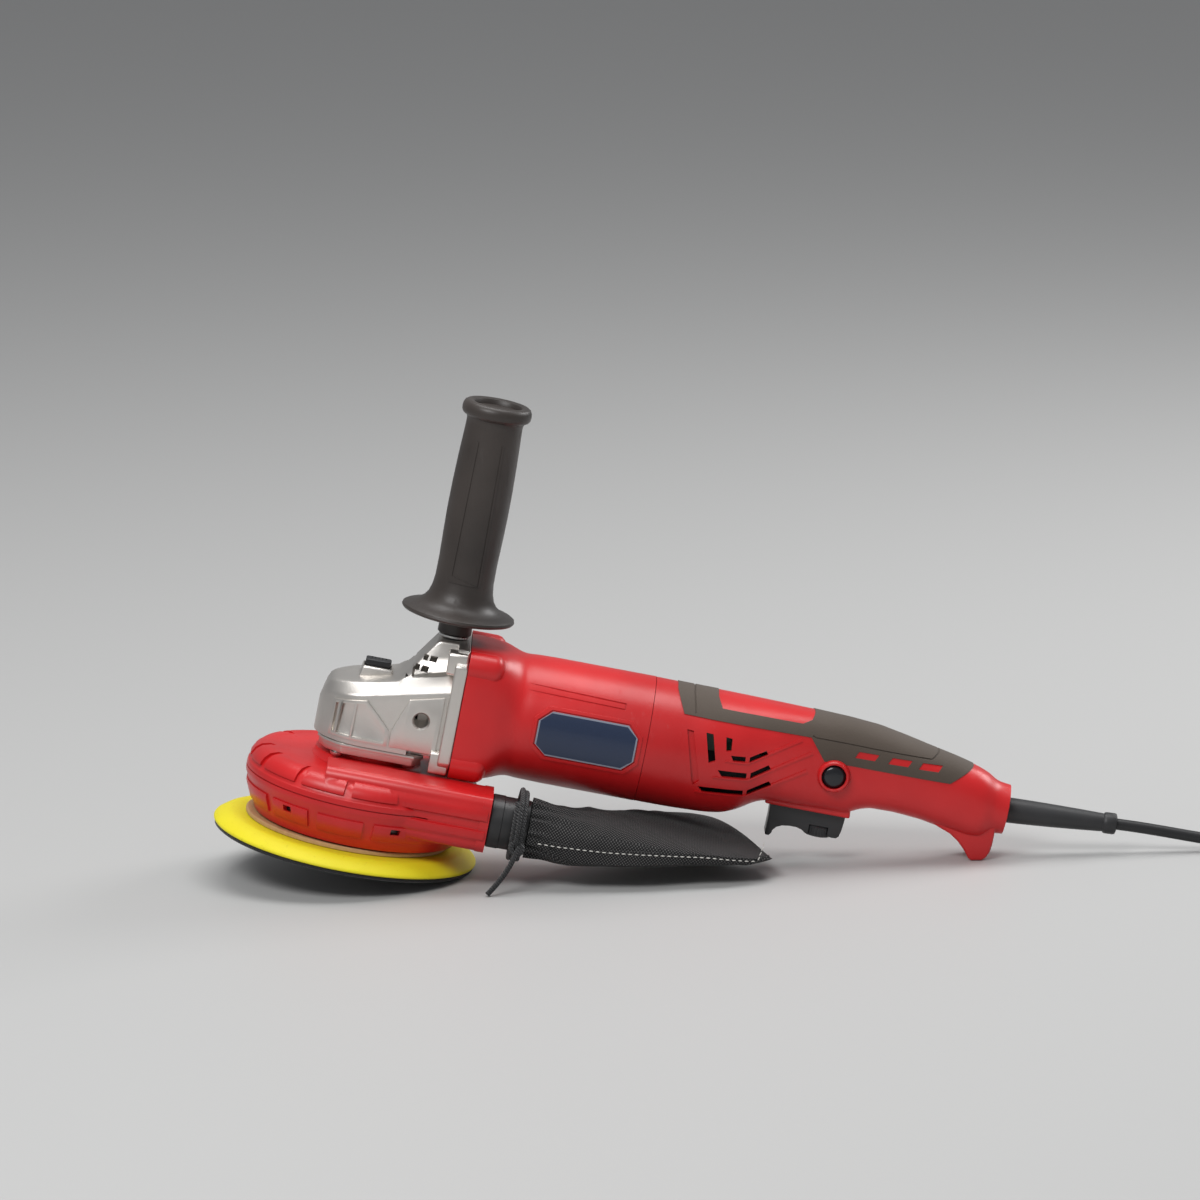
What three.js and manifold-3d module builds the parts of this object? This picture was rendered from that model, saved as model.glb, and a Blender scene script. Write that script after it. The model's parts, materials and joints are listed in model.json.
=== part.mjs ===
// A dual action rotary polisher with a dust shroud and bag, modelled as its separate pieces.
// The machine frame has the spindle on the Z axis, the pad's working face at z = 0 and the tail along +X.
// The whole machine is then pitched until the rim of its pad and the foot of its handle stand on z = 0.
import * as THREE from "three";
import { mergeVertices } from "three/addons/utils/BufferGeometryUtils.js";
import Module from "manifold-3d";

// Driving dimensions, in millimetres.
const GAP = 0.3;
const ROUND = 36;
const SMALL_ROUND = 16;

const PAD_RADIUS = 75;
const PAD_TOP_RADIUS = 66;
const PAD_THICKNESS = 7.2;
const HOOK_THICKNESS = 2;
const HOOK_RADIUS = 74;
const ORBIT_OFFSET = 4;
const PAD_PLATE_RADIUS = 62;
const PAD_PLATE_THICKNESS = 2.4;
const PAD_BEARING_RADIUS = 13;

const SHROUD_RADIUS = 66;
const SHROUD_FOOT_RADIUS = 58;
const SHROUD_SHOULDER_RADIUS = 50;
const SHROUD_WALL = 3;
const SHROUD_LOWER_HEIGHT = 23.4;
const SHROUD_UPPER_HEIGHT = 13;
const NECK_RADIUS = 30;
const NECK_HEIGHT = 7.4;
const OUTLET_RADIUS = 16.3;
const OUTLET_WALL = 3.3;
const OUTLET_SIDE = -43;
const OUTLET_END = 72;
const SPIGOT_RADIUS = 15;
const SPIGOT_LENGTH = 22;
const BAG_LENGTH = 138;

const PLATE_HALF = 29;
const PLATE_THICKNESS = 6;
const MOTOR_CLEARANCE = 0.9;
const HOUSING_CROWN = 7;
const HOUSING_WALL = 5;
const HOUSING_FRONT = -33;
const HOUSING_HALF_WIDTH = 31;
const FLANGE_FRONT = 38;
const FLANGE_THICKNESS = 7;
const FLANGE_MARGIN = 1.5;
const SCREW_INSET = 9;
const SOCKET_RADIUS = 4.2;

const SPINDLE_RADIUS = 6;
const GEAR_TEETH = 35;
const PINION_TEETH = 10;
const GEAR_OUTER = 23;
const GEAR_INNER = 15;
const GEAR_DEPTH = 15;

const MOTOR_RADIUS = 35.5;
const MOTOR_WALL = 3;
const MOTOR_LENGTH = 105.4;
const COLLAR_LENGTH = 29;
const SHAFT_RADIUS = 5;
const ARMATURE_RADIUS = 20;
const STACK_LENGTH = 38;

const HANDLE_WALL = 2.8;
const GRIP_HALF_WIDTH = 20;
const HANDLE_LENGTH = 208.3;
const FOOT_FROM_TAIL = 13.3;
const FOOT_DROP = 32;
const FOOT_HALF_WIDTH = 12;
const FOOT_HALF_LENGTH = 4;
const TRIGGER_HALF_WIDTH = 7;
const TRIGGER_LENGTH = 43;
const TRIGGER_TRAVEL = 6;
const DIAL_RADIUS = 8.3;
const LOCK_BUTTON_RADIUS = 6.5;

const SIDE_HANDLE_X = 34.5;
const SIDE_HANDLE_LENGTH = 133;
const GUARD_RADIUS = 32;
const GRIP_RADIUS = 17;

const CORD_DIAMETER = 6.5;
const RELIEF_LENGTH = 62;
const RELIEF_RADIUS = 7.2;
const COIL_MEAN_RADIUS = 37.5;
const COIL_COLUMNS = 3;
const COIL_LAYERS = 4;
const STRING_DIAMETER = 3;

// Shared heights and places.
const plateBottomZ = HOOK_THICKNESS + GAP + PAD_THICKNESS + GAP;
const plateTopZ = plateBottomZ + PAD_PLATE_THICKNESS;
const shroudZ = plateTopZ + 1;
const seamZ = shroudZ + SHROUD_LOWER_HEIGHT;
const shoulderZ = seamZ + GAP + SHROUD_UPPER_HEIGHT;
const neckTopZ = shoulderZ + NECK_HEIGHT;
const bearingPlateZ = neckTopZ + GAP;
const housingZ = bearingPlateZ + PLATE_THICKNESS + GAP;
const outletZ = shroudZ + SHROUD_LOWER_HEIGHT + 2.6;
const axisZ = outletZ + OUTLET_RADIUS + MOTOR_CLEARANCE + MOTOR_RADIUS;
const housingTopZ = axisZ + HOUSING_CROWN;
const flangeHalf = MOTOR_RADIUS + FLANGE_MARGIN;
const screwPitch = flangeHalf - SCREW_INSET;
const gearBottomZ = axisZ - GEAR_DEPTH;
const flangeTopZ = axisZ + flangeHalf;
const flangeBackX = FLANGE_FRONT + FLANGE_THICKNESS;
const motorFrontX = flangeBackX + GAP;
const motorBackX = motorFrontX + MOTOR_LENGTH;
const handleFrontX = motorBackX + GAP;
const hookFlat = HOOK_RADIUS * Math.cos(Math.PI / ROUND);
const contactX = hookFlat - ORBIT_OFFSET;
const footX = handleFrontX + HANDLE_LENGTH - FOOT_FROM_TAIL;
const pitch = Math.atan2(axisZ - FOOT_DROP, footX - contactX);
const onAxis = [0, 0, axisZ];
const floorAt = (x) => Math.tan(pitch) * (x - contactX);

const wasm = await Module();
wasm.setup();

// A closed three.js geometry as a solid, with its faces pointing out.
function solid(geometry) {
  const bare = geometry.index ? geometry.toNonIndexed() : geometry.clone();
  bare.deleteAttribute("normal");
  bare.deleteAttribute("uv");
  const merged = mergeVertices(bare, 1e-4);
  const vertProperties = merged.attributes.position.array;
  const triVerts = new Uint32Array(merged.index.array);
  const made = new wasm.Manifold(new wasm.Mesh({ numProp: 3, vertProperties, triVerts }));
  if (made.volume() > 0) return made;
  for (let i = 0; i < triVerts.length; i += 3) {
    [triVerts[i + 1], triVerts[i + 2]] = [triVerts[i + 2], triVerts[i + 1]];
  }
  return new wasm.Manifold(new wasm.Mesh({ numProp: 3, vertProperties, triVerts }));
}

const join = (first, ...others) => others.reduce((sum, other) => sum.add(other), first);
const cut = (first, ...tools) => tools.reduce((rest, tool) => rest.subtract(tool), first);
const common = (first, ...others) => others.reduce((rest, other) => rest.intersect(other), first);

// A box between two corners.
function block([x0, x1], [y0, y1], [z0, z1]) {
  const g = new THREE.BoxGeometry(x1 - x0, y1 - y0, z1 - z0);
  return solid(g.translate((x0 + x1) / 2, (y0 + y1) / 2, (z0 + z1) / 2));
}

const turnTo = {
  x: (g) => g.rotateZ(-Math.PI / 2),
  y: (g) => g,
  z: (g) => g.rotateX(Math.PI / 2),
};

// A turned piece: a closed profile of [radius, height] points about an axis through a place.
function turned(axis, profile, place = [0, 0, 0], sides = ROUND) {
  const points = [...profile, profile[0]].map(([r, h]) => new THREE.Vector2(r, h));
  const g = new THREE.LatheGeometry(points, sides);
  g.rotateY(Math.PI / sides);
  return solid(turnTo[axis](g).translate(...place));
}

// A round bar along an axis, from one height to another.
function rod(axis, radius, from, to, place = [0, 0, 0], sides = SMALL_ROUND) {
  const g = new THREE.CylinderGeometry(radius, radius, to - from, sides);
  g.rotateY(Math.PI / sides).translate(0, (from + to) / 2, 0);
  return solid(turnTo[axis](g).translate(...place));
}

// A round tube along an axis.
function tube(axis, outer, inner, from, to, place = [0, 0, 0], sides = SMALL_ROUND) {
  const profile = [[inner, from], [outer, from], [outer, to], [inner, to]];
  return turned(axis, profile, place, sides);
}

const spread = {
  x: (g, from) => {
    const swap = new THREE.Matrix4().makeBasis(
      new THREE.Vector3(0, 1, 0),
      new THREE.Vector3(0, 0, 1),
      new THREE.Vector3(1, 0, 0),
    );
    return g.applyMatrix4(swap).translate(from, 0, 0);
  },
  y: (g, from, to) => g.rotateX(Math.PI / 2).translate(0, to, 0),
  z: (g, from) => g.translate(0, 0, from),
};

// An outline pushed along an axis: along x it is drawn in (y, z), along y in (x, z), along z in (x, y).
function pushed(axis, outline, from, to, bevel = 0) {
  const shape = outline instanceof THREE.Shape
    ? outline
    : new THREE.Shape(outline.map(([a, b]) => new THREE.Vector2(a, b)));
  const g = new THREE.ExtrudeGeometry(shape, {
    depth: to - from - 2 * bevel,
    bevelEnabled: bevel > 0,
    bevelThickness: bevel,
    bevelSize: bevel,
    bevelOffset: -bevel,
    bevelSegments: 2,
    curveSegments: 6,
  });
  if (bevel) g.translate(0, 0, bevel);
  return solid(spread[axis](g, from, to));
}

// A ring sector about the X axis, for the field magnet and its coils.
function sector(inner, outer, middle, half, from, to) {
  const shape = new THREE.Shape();
  shape.absarc(0, 0, outer, middle - half, middle + half, false);
  shape.absarc(0, 0, inner, middle + half, middle - half, true);
  return pushed("x", shape, from, to).translate([0, 0, axisZ]);
}

const root = new THREE.Group();
const machine = new THREE.Group();
machine.rotation.y = pitch;
machine.position.z = contactX * Math.sin(pitch);
root.add(machine);

// Makes a named mesh of a solid, with its own material, and adds it to a group.
function piece(name, body, color, roughness = 0.5, metalness = 0, group = machine) {
  const made = body.getMesh();
  const g = new THREE.BufferGeometry();
  const xyz = new Float32Array(made.numVert * 3);
  for (let i = 0; i < made.numVert; i++) {
    xyz.set(made.vertProperties.subarray(i * made.numProp, i * made.numProp + 3), i * 3);
  }
  g.setAttribute("position", new THREE.BufferAttribute(xyz, 3));
  g.setIndex(new THREE.BufferAttribute(new Uint32Array(made.triVerts), 1));
  const mesh = new THREE.Mesh(g, new THREE.MeshStandardMaterial({ color, roughness, metalness }));
  mesh.name = name;
  group.add(mesh);
  return mesh;
}

const RED = 0xcc1419;
const YELLOW = 0xefe232;
const BLACK = 0x161616;
const STEEL = 0xb9bbbd;
const CAST_ALUMINIUM = 0xb9b3ac;
const BRASS = 0xc9a227;
const COPPER = 0xb36a35;
const RUBBER = 0x4a423c;

// Backing pad: the hook face, the bevelled foam pad and the plate that it is moulded on.
const padPlace = [-ORBIT_OFFSET, 0, 0];
piece("hook_face", rod("z", HOOK_RADIUS, 0, HOOK_THICKNESS, padPlace, ROUND), BLACK, 0.95);
const padZ = HOOK_THICKNESS + GAP;
const padProfile = [
  [0, padZ],
  [PAD_RADIUS - 1, padZ],
  [PAD_RADIUS, padZ + 1.4],
  [PAD_TOP_RADIUS, padZ + PAD_THICKNESS],
  [0, padZ + PAD_THICKNESS],
];
piece("backing_pad", turned("z", padProfile, padPlace), YELLOW, 0.55);
const padPlate = rod("z", PAD_PLATE_RADIUS, plateBottomZ, plateTopZ, padPlace, ROUND);
piece("pad_plate", padPlate, 0xc8a36e, 0.6);
const studZ = plateTopZ + GAP;
const hubZ = studZ + 5.5;
const hubTopZ = hubZ + 17;
const pocketTopZ = hubZ + 11;
const padStud = join(
  rod("z", 9, studZ, hubZ - 1, padPlace),
  rod("z", 5, hubZ - 1.5, pocketTopZ - 0.6, padPlace),
);
piece("pad_stud", padStud, STEEL, 0.3, 1);
const padBearing = tube("z", PAD_BEARING_RADIUS, 5 + GAP, hubZ + 0.4, pocketTopZ - GAP, padPlace);
piece("pad_bearing", padBearing, STEEL, 0.3, 1);

// Spindle, with the eccentric hub that swings the pad, the dust fan and the crown gear.
const hubRadius = 24;
const weight = new THREE.Shape();
weight.absarc(0, 0, 34, -0.9, 0.9, false);
weight.absarc(0, 0, hubRadius - 2, 0.9, -0.9, true);
const hub = cut(
  join(rod("z", hubRadius, hubZ, hubTopZ, [0, 0, 0], ROUND), pushed("z", weight, hubZ, hubTopZ - 3)),
  rod("z", PAD_BEARING_RADIUS + GAP, hubZ - 1, pocketTopZ, padPlace, SMALL_ROUND),
  rod("z", SPINDLE_RADIUS + GAP, pocketTopZ - 1, hubTopZ + 1),
);
piece("eccentric_hub", hub, 0x77797c, 0.5, 1);
const spindleTopZ = housingTopZ - 3.5;
const spindle = join(
  rod("z", SPINDLE_RADIUS, pocketTopZ + 0.8, gearBottomZ + 10),
  rod("z", 4, gearBottomZ + 9, spindleTopZ),
);
piece("spindle", spindle, STEEL, 0.25, 1);
const fanTopZ = shoulderZ - SHROUD_WALL - 1.5;
const fanBlades = Array.from({ length: 8 }, (_, i) =>
  block([21, 46], [-0.9, 0.9], [fanTopZ - 7, fanTopZ - 1]).rotate([0, 0, i * 45]));
const dustFan = cut(
  join(
    rod("z", 47, fanTopZ - 2, fanTopZ, [0, 0, 0], ROUND),
    rod("z", 11, hubTopZ + GAP, fanTopZ),
    ...fanBlades,
  ),
  rod("z", SPINDLE_RADIUS + GAP, hubTopZ - 1, fanTopZ + 1),
);
piece("dust_fan", dustFan, BLACK, 0.5);

// Bevel gears: every tooth is a wedge whose edges meet where the spindle and motor axes cross.
const gearRatio = GEAR_TEETH / PINION_TEETH;
const meshRadius = (GEAR_OUTER + GEAR_INNER) / 2;
const ADDENDUM = 0.75;
const DEDENDUM = 1.1;
const TOOTH_SHARE = 0.36;
const toothWidth = (2 * Math.PI * meshRadius / GEAR_TEETH) * TOOTH_SHARE;
function taperedTooth(length, width, from, to, drop) {
  const g = new THREE.BoxGeometry(length, width, to - from);
  g.translate(meshRadius, 0, (from + to) / 2 - drop);
  const p = g.attributes.position;
  for (let i = 0; i < p.count; i++) {
    const scale = p.getX(i) / meshRadius;
    p.setXYZ(i, p.getX(i), p.getY(i) * scale, p.getZ(i) * scale);
  }
  return solid(g);
}
const gearLength = GEAR_OUTER - GEAR_INNER;
const gearTooth = taperedTooth(gearLength, toothWidth, -DEDENDUM - 0.6, ADDENDUM, meshRadius / gearRatio);
const gearTeeth = Array.from({ length: GEAR_TEETH }, (_, i) =>
  gearTooth.rotate([0, 0, (i + 0.5) * 360 / GEAR_TEETH]).translate([0, 0, axisZ]));
const rootDrop = (r) => axisZ - r / gearRatio - DEDENDUM * r / meshRadius;
const gearBlank = turned("z", [
  [SPINDLE_RADIUS + GAP, gearBottomZ],
  [GEAR_OUTER, gearBottomZ],
  [GEAR_OUTER, rootDrop(GEAR_OUTER)],
  [GEAR_INNER, rootDrop(GEAR_INNER)],
  [SPINDLE_RADIUS + GAP, rootDrop(GEAR_INNER)],
]);
piece("crown_gear", join(gearBlank, ...gearTeeth), 0x8d8f91, 0.4, 1);
const pinionReach = gearLength - 0.8;
const pinionTooth = taperedTooth(pinionReach, toothWidth, -ADDENDUM, DEDENDUM + 0.6, meshRadius / gearRatio);
const pinionTeeth = Array.from({ length: PINION_TEETH }, (_, i) =>
  pinionTooth.rotate([i * 360 / PINION_TEETH, 0, 0]));
const pinionRoot = (x) => x / gearRatio - DEDENDUM * x / meshRadius;
const pinionFront = meshRadius - pinionReach / 2;
const pinionBack = meshRadius + pinionReach / 2;
const pinionCore = turned("x", [
  [0, pinionFront],
  [pinionRoot(pinionFront), pinionFront],
  [pinionRoot(pinionBack), pinionBack],
  [pinionRoot(pinionBack), GEAR_OUTER + 2 * GAP],
  [7, GEAR_OUTER + 2 * GAP],
  [7, pinionBack + 6],
  [3.8, pinionBack + 6],
  [3.8, pinionBack + 1.5],
  [0, pinionBack + 1.5],
]);
piece("pinion_gear", join(pinionCore, ...pinionTeeth).translate(onAxis), 0x8d8f91, 0.4, 1);

// Dust shroud: a round shell with a tangential outlet, parted along a level seam.
const shroudSkin = turned("z", [
  [0, shroudZ],
  [SHROUD_FOOT_RADIUS, shroudZ],
  [SHROUD_RADIUS - 1.5, seamZ - 5],
  [SHROUD_RADIUS, seamZ - 2],
  [SHROUD_RADIUS, seamZ + 4],
  [SHROUD_RADIUS - 4, seamZ + 9],
  [SHROUD_SHOULDER_RADIUS, shoulderZ],
  [NECK_RADIUS, shoulderZ],
  [NECK_RADIUS, neckTopZ - 3],
  [NECK_RADIUS - 7, neckTopZ - 3],
  [NECK_RADIUS - 7, neckTopZ],
  [0, neckTopZ],
]);
const shroudHollow = turned("z", [
  [0, shroudZ - 1],
  [SHROUD_FOOT_RADIUS - SHROUD_WALL, shroudZ - 1],
  [SHROUD_RADIUS - 1.5 - SHROUD_WALL, seamZ - 5],
  [SHROUD_RADIUS - SHROUD_WALL, seamZ - 2],
  [SHROUD_RADIUS - SHROUD_WALL, seamZ + 3],
  [SHROUD_RADIUS - 5 - SHROUD_WALL, seamZ + 7],
  [SHROUD_SHOULDER_RADIUS - SHROUD_WALL, shoulderZ - SHROUD_WALL],
  [16, shoulderZ - SHROUD_WALL],
  [16, neckTopZ + 1],
  [0, neckTopZ + 1],
]);
const outletPlace = [0, OUTLET_SIDE, outletZ];
const outletBore = OUTLET_RADIUS - OUTLET_WALL;
const shroud = cut(
  join(shroudSkin, rod("x", OUTLET_RADIUS, -8, OUTLET_END, outletPlace)),
  shroudHollow,
  rod("x", outletBore, 5, OUTLET_END + 1, outletPlace),
);
const farOut = 600;
const below = block([-farOut, farOut], [-farOut, farOut], [-farOut, seamZ]);
const above = block([-farOut, farOut], [-farOut, farOut], [seamZ + GAP, farOut]);
// The sloped hollow leaves thin loose rings where the parting plane meets it: the shell is the largest body.
const shellOf = (half) => half.decompose().sort((a, b) => b.volume() - a.volume())[0];
piece("shroud_lower", shellOf(common(shroud, below)), RED, 0.35);
piece("shroud_upper", shellOf(common(shroud, above)), RED, 0.35);
const spigotStart = OUTLET_END - 14;
const spigotEnd = OUTLET_END + GAP + SPIGOT_LENGTH;
const spigotProfile = [
  [outletBore - GAP - 2, spigotStart],
  [outletBore - GAP, spigotStart],
  [outletBore - GAP, OUTLET_END + GAP],
  [SPIGOT_RADIUS, OUTLET_END + GAP],
  [SPIGOT_RADIUS, spigotEnd],
  [outletBore - GAP - 2, spigotEnd],
];
piece("dust_spigot", turned("x", spigotProfile, outletPlace, SMALL_ROUND), BLACK, 0.45);

// Dust bag: a flat pouch that hangs from the spigot and spreads under the motor.
const bagStart = spigotEnd + GAP;
const bagEnd = bagStart + BAG_LENGTH;
const bagBottom = (x) => floorAt(x) + 8;
const bagSide = [
  [bagStart, outletZ - 15.5],
  [bagStart + 10, outletZ - 18],
  [bagStart + 22, bagBottom(bagStart + 22) + 4],
  [bagStart + 60, bagBottom(bagStart + 60)],
  [bagEnd - 25, bagBottom(bagEnd - 25)],
  [bagEnd, bagBottom(bagEnd) + 2],
  [bagEnd, bagBottom(bagEnd) + 9],
  [bagEnd - 35, bearingPlateZ - 5],
  [bagStart + 20, bearingPlateZ - 3.8],
  [bagStart, outletZ + 15.5],
];
const bagPlan = [
  [bagStart, OUTLET_SIDE - 15],
  [bagStart + 18, OUTLET_SIDE - 20],
  [bagEnd - 12, OUTLET_SIDE - 14],
  [bagEnd, OUTLET_SIDE - 4],
  [bagEnd - 8, OUTLET_SIDE + 40],
  [bagEnd - 28, OUTLET_SIDE + 92],
  [bagEnd - 42, OUTLET_SIDE + 96],
  [bagStart + 22, OUTLET_SIDE + 40],
  [bagStart, OUTLET_SIDE + 15],
];
const dustBag = common(pushed("y", bagSide, -farOut, farOut), pushed("z", bagPlan, -farOut, farOut));
piece("dust_bag", dustBag, 0x1c1c1e, 0.9);

// Drawstring: wound round the neck of the bag over the spigot, with one loose end.
const stringX = spigotEnd - 5;
const stringRing = SPIGOT_RADIUS + GAP + 1.2;
const stringOuter = stringRing + 2 * STRING_DIAMETER;
const stringWinding = tube("x", stringOuter, stringRing, stringX - 5, stringX + 4, outletPlace);
const stringEndPoints = [
  [stringX - 2, OUTLET_SIDE - 19, outletZ - 8],
  [stringX - 4, OUTLET_SIDE - 21, outletZ - 14],
  [stringX - 8, OUTLET_SIDE - 22, outletZ - 22],
  [stringX - 13, OUTLET_SIDE - 23, outletZ - 29],
].map((p) => new THREE.Vector3(...p));
function cordTube(points, diameter, sides, steps) {
  const section = new THREE.Shape();
  section.absarc(0, 0, diameter / 2, 0, 2 * Math.PI, false);
  const extrudePath = new THREE.CatmullRomCurve3(points);
  return solid(new THREE.ExtrudeGeometry(section, { extrudePath, steps, curveSegments: sides / 2 }));
}
const stringEnd = cordTube(stringEndPoints, STRING_DIAMETER, 8, 6);
piece("drawstring", join(stringWinding, stringEnd), BLACK, 0.9);

// Bearing plate under the gear housing, with its bearing and four screws.
const plateScrews = [[-18, 24], [22, 22], [-18, -24], [22, -22]];
const plateCorner = PLATE_HALF - 9;
const plateOutline = [
  [-PLATE_HALF, -plateCorner], [-plateCorner, -PLATE_HALF], [PLATE_HALF, -PLATE_HALF],
  [PLATE_HALF, PLATE_HALF], [-plateCorner, PLATE_HALF], [-PLATE_HALF, plateCorner],
];
const lowerBearingRadius = 14;
const bearingSeatZ = bearingPlateZ + 1.5;
const bearingPlate = cut(
  pushed("z", plateOutline, bearingPlateZ, bearingPlateZ + PLATE_THICKNESS),
  rod("z", lowerBearingRadius + GAP, bearingSeatZ, housingZ),
  rod("z", SPINDLE_RADIUS + 2, bearingPlateZ - 1, housingZ),
  ...plateScrews.map(([x, y]) => rod("z", 2 + GAP, bearingPlateZ - 1, housingZ, [x, y, 0], 12)),
);
piece("bearing_plate", bearingPlate, CAST_ALUMINIUM, 0.45, 0.9);
const lowerBearing = tube("z", lowerBearingRadius, SPINDLE_RADIUS + GAP, bearingSeatZ + GAP, housingZ + 4);
piece("lower_spindle_bearing", lowerBearing, STEEL, 0.3, 1);
const screwHead = 3.6;
plateScrews.forEach(([x, y], i) => {
  const screw = join(
    rod("z", screwHead, bearingPlateZ - GAP - 2.2, bearingPlateZ - GAP, [x, y, 0], 12),
    rod("z", 2, bearingPlateZ - GAP - 0.5, housingZ + 5, [x, y, 0], 12),
  );
  piece(`plate_screw_${i + 1}`, screw, STEEL, 0.3, 1);
});

// Gear housing: one casting with the gear space, the pinion tunnel and the motor flange.
const housingSide = [
  [HOUSING_FRONT, housingZ],
  [HOUSING_FRONT, housingZ + 12],
  [HOUSING_FRONT + 5, housingTopZ - 5],
  [HOUSING_FRONT + 13, housingTopZ],
  [8, housingTopZ],
  [27, flangeTopZ],
  [FLANGE_FRONT + 1, flangeTopZ],
  [FLANGE_FRONT + 1, housingZ],
];
const housingEnd = [
  [-HOUSING_HALF_WIDTH, housingZ],
  [HOUSING_HALF_WIDTH, housingZ],
  [HOUSING_HALF_WIDTH, housingZ + 26],
  [24, housingTopZ - 1],
  [17, housingTopZ + 8],
  [14, flangeTopZ],
  [-14, flangeTopZ],
  [-17, housingTopZ + 8],
  [-24, housingTopZ - 1],
  [-HOUSING_HALF_WIDTH, housingZ + 26],
];
const nose = new THREE.Shape();
nose.moveTo(FLANGE_FRONT + 1, -HOUSING_HALF_WIDTH);
nose.lineTo(FLANGE_FRONT + 1, HOUSING_HALF_WIDTH);
nose.lineTo(-6, HOUSING_HALF_WIDTH);
nose.absellipse(-6, 0, -HOUSING_FRONT - 6, HOUSING_HALF_WIDTH, Math.PI / 2, 3 * Math.PI / 2, false);
const flangeCorner = flangeHalf - 9;
const octagon = (half, corner) => [
  [-half, -corner], [-corner, -half], [corner, -half], [half, -corner],
  [half, corner], [corner, half], [-corner, half], [-half, corner],
];
const flange = pushed("x", octagon(flangeHalf, flangeCorner), FLANGE_FRONT, flangeBackX).translate(onAxis);
const motorScrews = [[1, 1], [-1, 1], [1, -1], [-1, -1]].map(([a, b]) =>
  [a * screwPitch, axisZ + b * screwPitch]);
const BUTTON_X = -4;
const bossOutline = [
  [BUTTON_X - 9.5, housingTopZ - 1], [BUTTON_X + 9.5, housingTopZ - 1],
  [BUTTON_X + 8, housingTopZ + 6], [BUTTON_X - 8, housingTopZ + 6],
];
const bossTopZ = housingTopZ + 6;
const pinX = BUTTON_X - 5.3;
const frontBearingRadius = 16;
const ventRows = [0, 1, 2].flatMap((i) => [[3, 10], [-10, -3]].map((across) =>
  block([10 + 4 * i, 15 + 4 * i], across, [axisZ + 13 + 6 * i, axisZ + 15.4 + 6 * i])));
const gearSpaceTop = rootDrop(GEAR_INNER) + 3.2;
const housing = cut(
  join(
    common(
      pushed("y", housingSide, -HOUSING_HALF_WIDTH, HOUSING_HALF_WIDTH),
      pushed("x", housingEnd, HOUSING_FRONT, FLANGE_FRONT + 1),
      pushed("z", nose, housingZ, flangeTopZ),
    ),
    flange,
    pushed("y", bossOutline, -8.5, 8.5),
  ),
  rod("z", -HOUSING_FRONT - HOUSING_WALL - 1.5, housingZ - 1, gearSpaceTop, [0, 0, 0], ROUND),
  rod("x", 10.5, 4, FLANGE_FRONT, onAxis),
  rod("z", 7 + GAP, gearSpaceTop - 1, housingTopZ - 2.5),
  rod("x", frontBearingRadius + GAP, FLANGE_FRONT - 5, flangeBackX + 1, onAxis),
  ...motorScrews.map(([y, z]) => rod("x", 2.4 + GAP, FLANGE_FRONT - 8, flangeBackX + 1, [0, y, z], 12)),
  ...motorScrews.map(([y, z]) => rod("x", 3.8 + GAP, FLANGE_FRONT - 14, FLANGE_FRONT, [0, y, z], 12)),
  ...plateScrews.map(([x, y]) => rod("z", 2 + GAP, housingZ - 1, housingZ + 6, [x, y, 0], 12)),
  rod("z", 1.9 + GAP, gearSpaceTop - 1, bossTopZ + 1, [pinX, 0, 0], 12),
  block([BUTTON_X - 7.6, BUTTON_X + 7.6], [-5.3, 5.3], [bossTopZ - 4.6, bossTopZ + 1]),
  rod("z", 4 + GAP, flangeTopZ - 17, flangeTopZ + 1, [SIDE_HANDLE_X, 0, 0], 16),
  ...[-1, 1].map((side) =>
    rod("y", SOCKET_RADIUS, side > 0 ? 20 : -34, side > 0 ? 34 : -20, [25, 0, axisZ - 7], 16)),
  ...ventRows,
);
piece("gear_housing", housing, CAST_ALUMINIUM, 0.45, 0.9);
piece("upper_spindle_bush", tube("z", 7, 4 + GAP, gearSpaceTop + 1, housingTopZ - 2.5 - GAP), BRASS, 0.4, 1);
motorScrews.forEach(([y, z], i) => {
  const screw = join(
    rod("x", 3.8, FLANGE_FRONT - GAP - 3, FLANGE_FRONT - GAP, [0, y, z], 12),
    rod("x", 2.4, FLANGE_FRONT - GAP - 0.5, motorFrontX + 16, [0, y, z], 12),
  );
  piece(`motor_screw_${i + 1}`, screw, STEEL, 0.3, 1);
});
const lockButton = join(
  block([BUTTON_X - 7.2, BUTTON_X + 7.2], [-4.9, 4.9], [bossTopZ - 0.2, bossTopZ + 3.6]),
  rod("z", 1.9, gearSpaceTop + 2.4, bossTopZ, [pinX, 0, 0], 12),
);
piece("spindle_lock_button", lockButton, BLACK, 0.4);

// Side handle: a moulded grip with a hand guard, on a stud screwed into the top of the housing.
const handlePlace = [SIDE_HANDLE_X, 0, 0];
const washerZ = flangeTopZ + GAP;
piece("side_handle_washer", tube("z", 8.5, 4 + GAP, washerZ, washerZ + 1.6, handlePlace), STEEL, 0.3, 1);
const gripZ = washerZ + 1.6 + GAP;
const gripTopZ = gripZ + SIDE_HANDLE_LENGTH;
const gripProfile = [
  [4 + GAP, gripZ],
  [9.5, gripZ],
  [9.5, gripZ + 7],
  [GUARD_RADIUS - 2, gripZ + 10],
  [GUARD_RADIUS, gripZ + 12],
  [GUARD_RADIUS - 2, gripZ + 14],
  [GRIP_RADIUS + 2, gripZ + 18],
  [GRIP_RADIUS - 1, gripZ + 26],
  [GRIP_RADIUS, gripZ + 70],
  [GRIP_RADIUS - 1.5, gripTopZ - 9],
  [GRIP_RADIUS + 2.5, gripTopZ - 5],
  [GRIP_RADIUS + 2.5, gripTopZ - 1],
  [GRIP_RADIUS, gripTopZ],
  [GRIP_RADIUS - 5, gripTopZ],
  [GRIP_RADIUS - 6, gripTopZ - 2],
  [0, gripTopZ - 2],
  [0, gripZ + 40],
  [4 + GAP, gripZ + 40],
];
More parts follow.
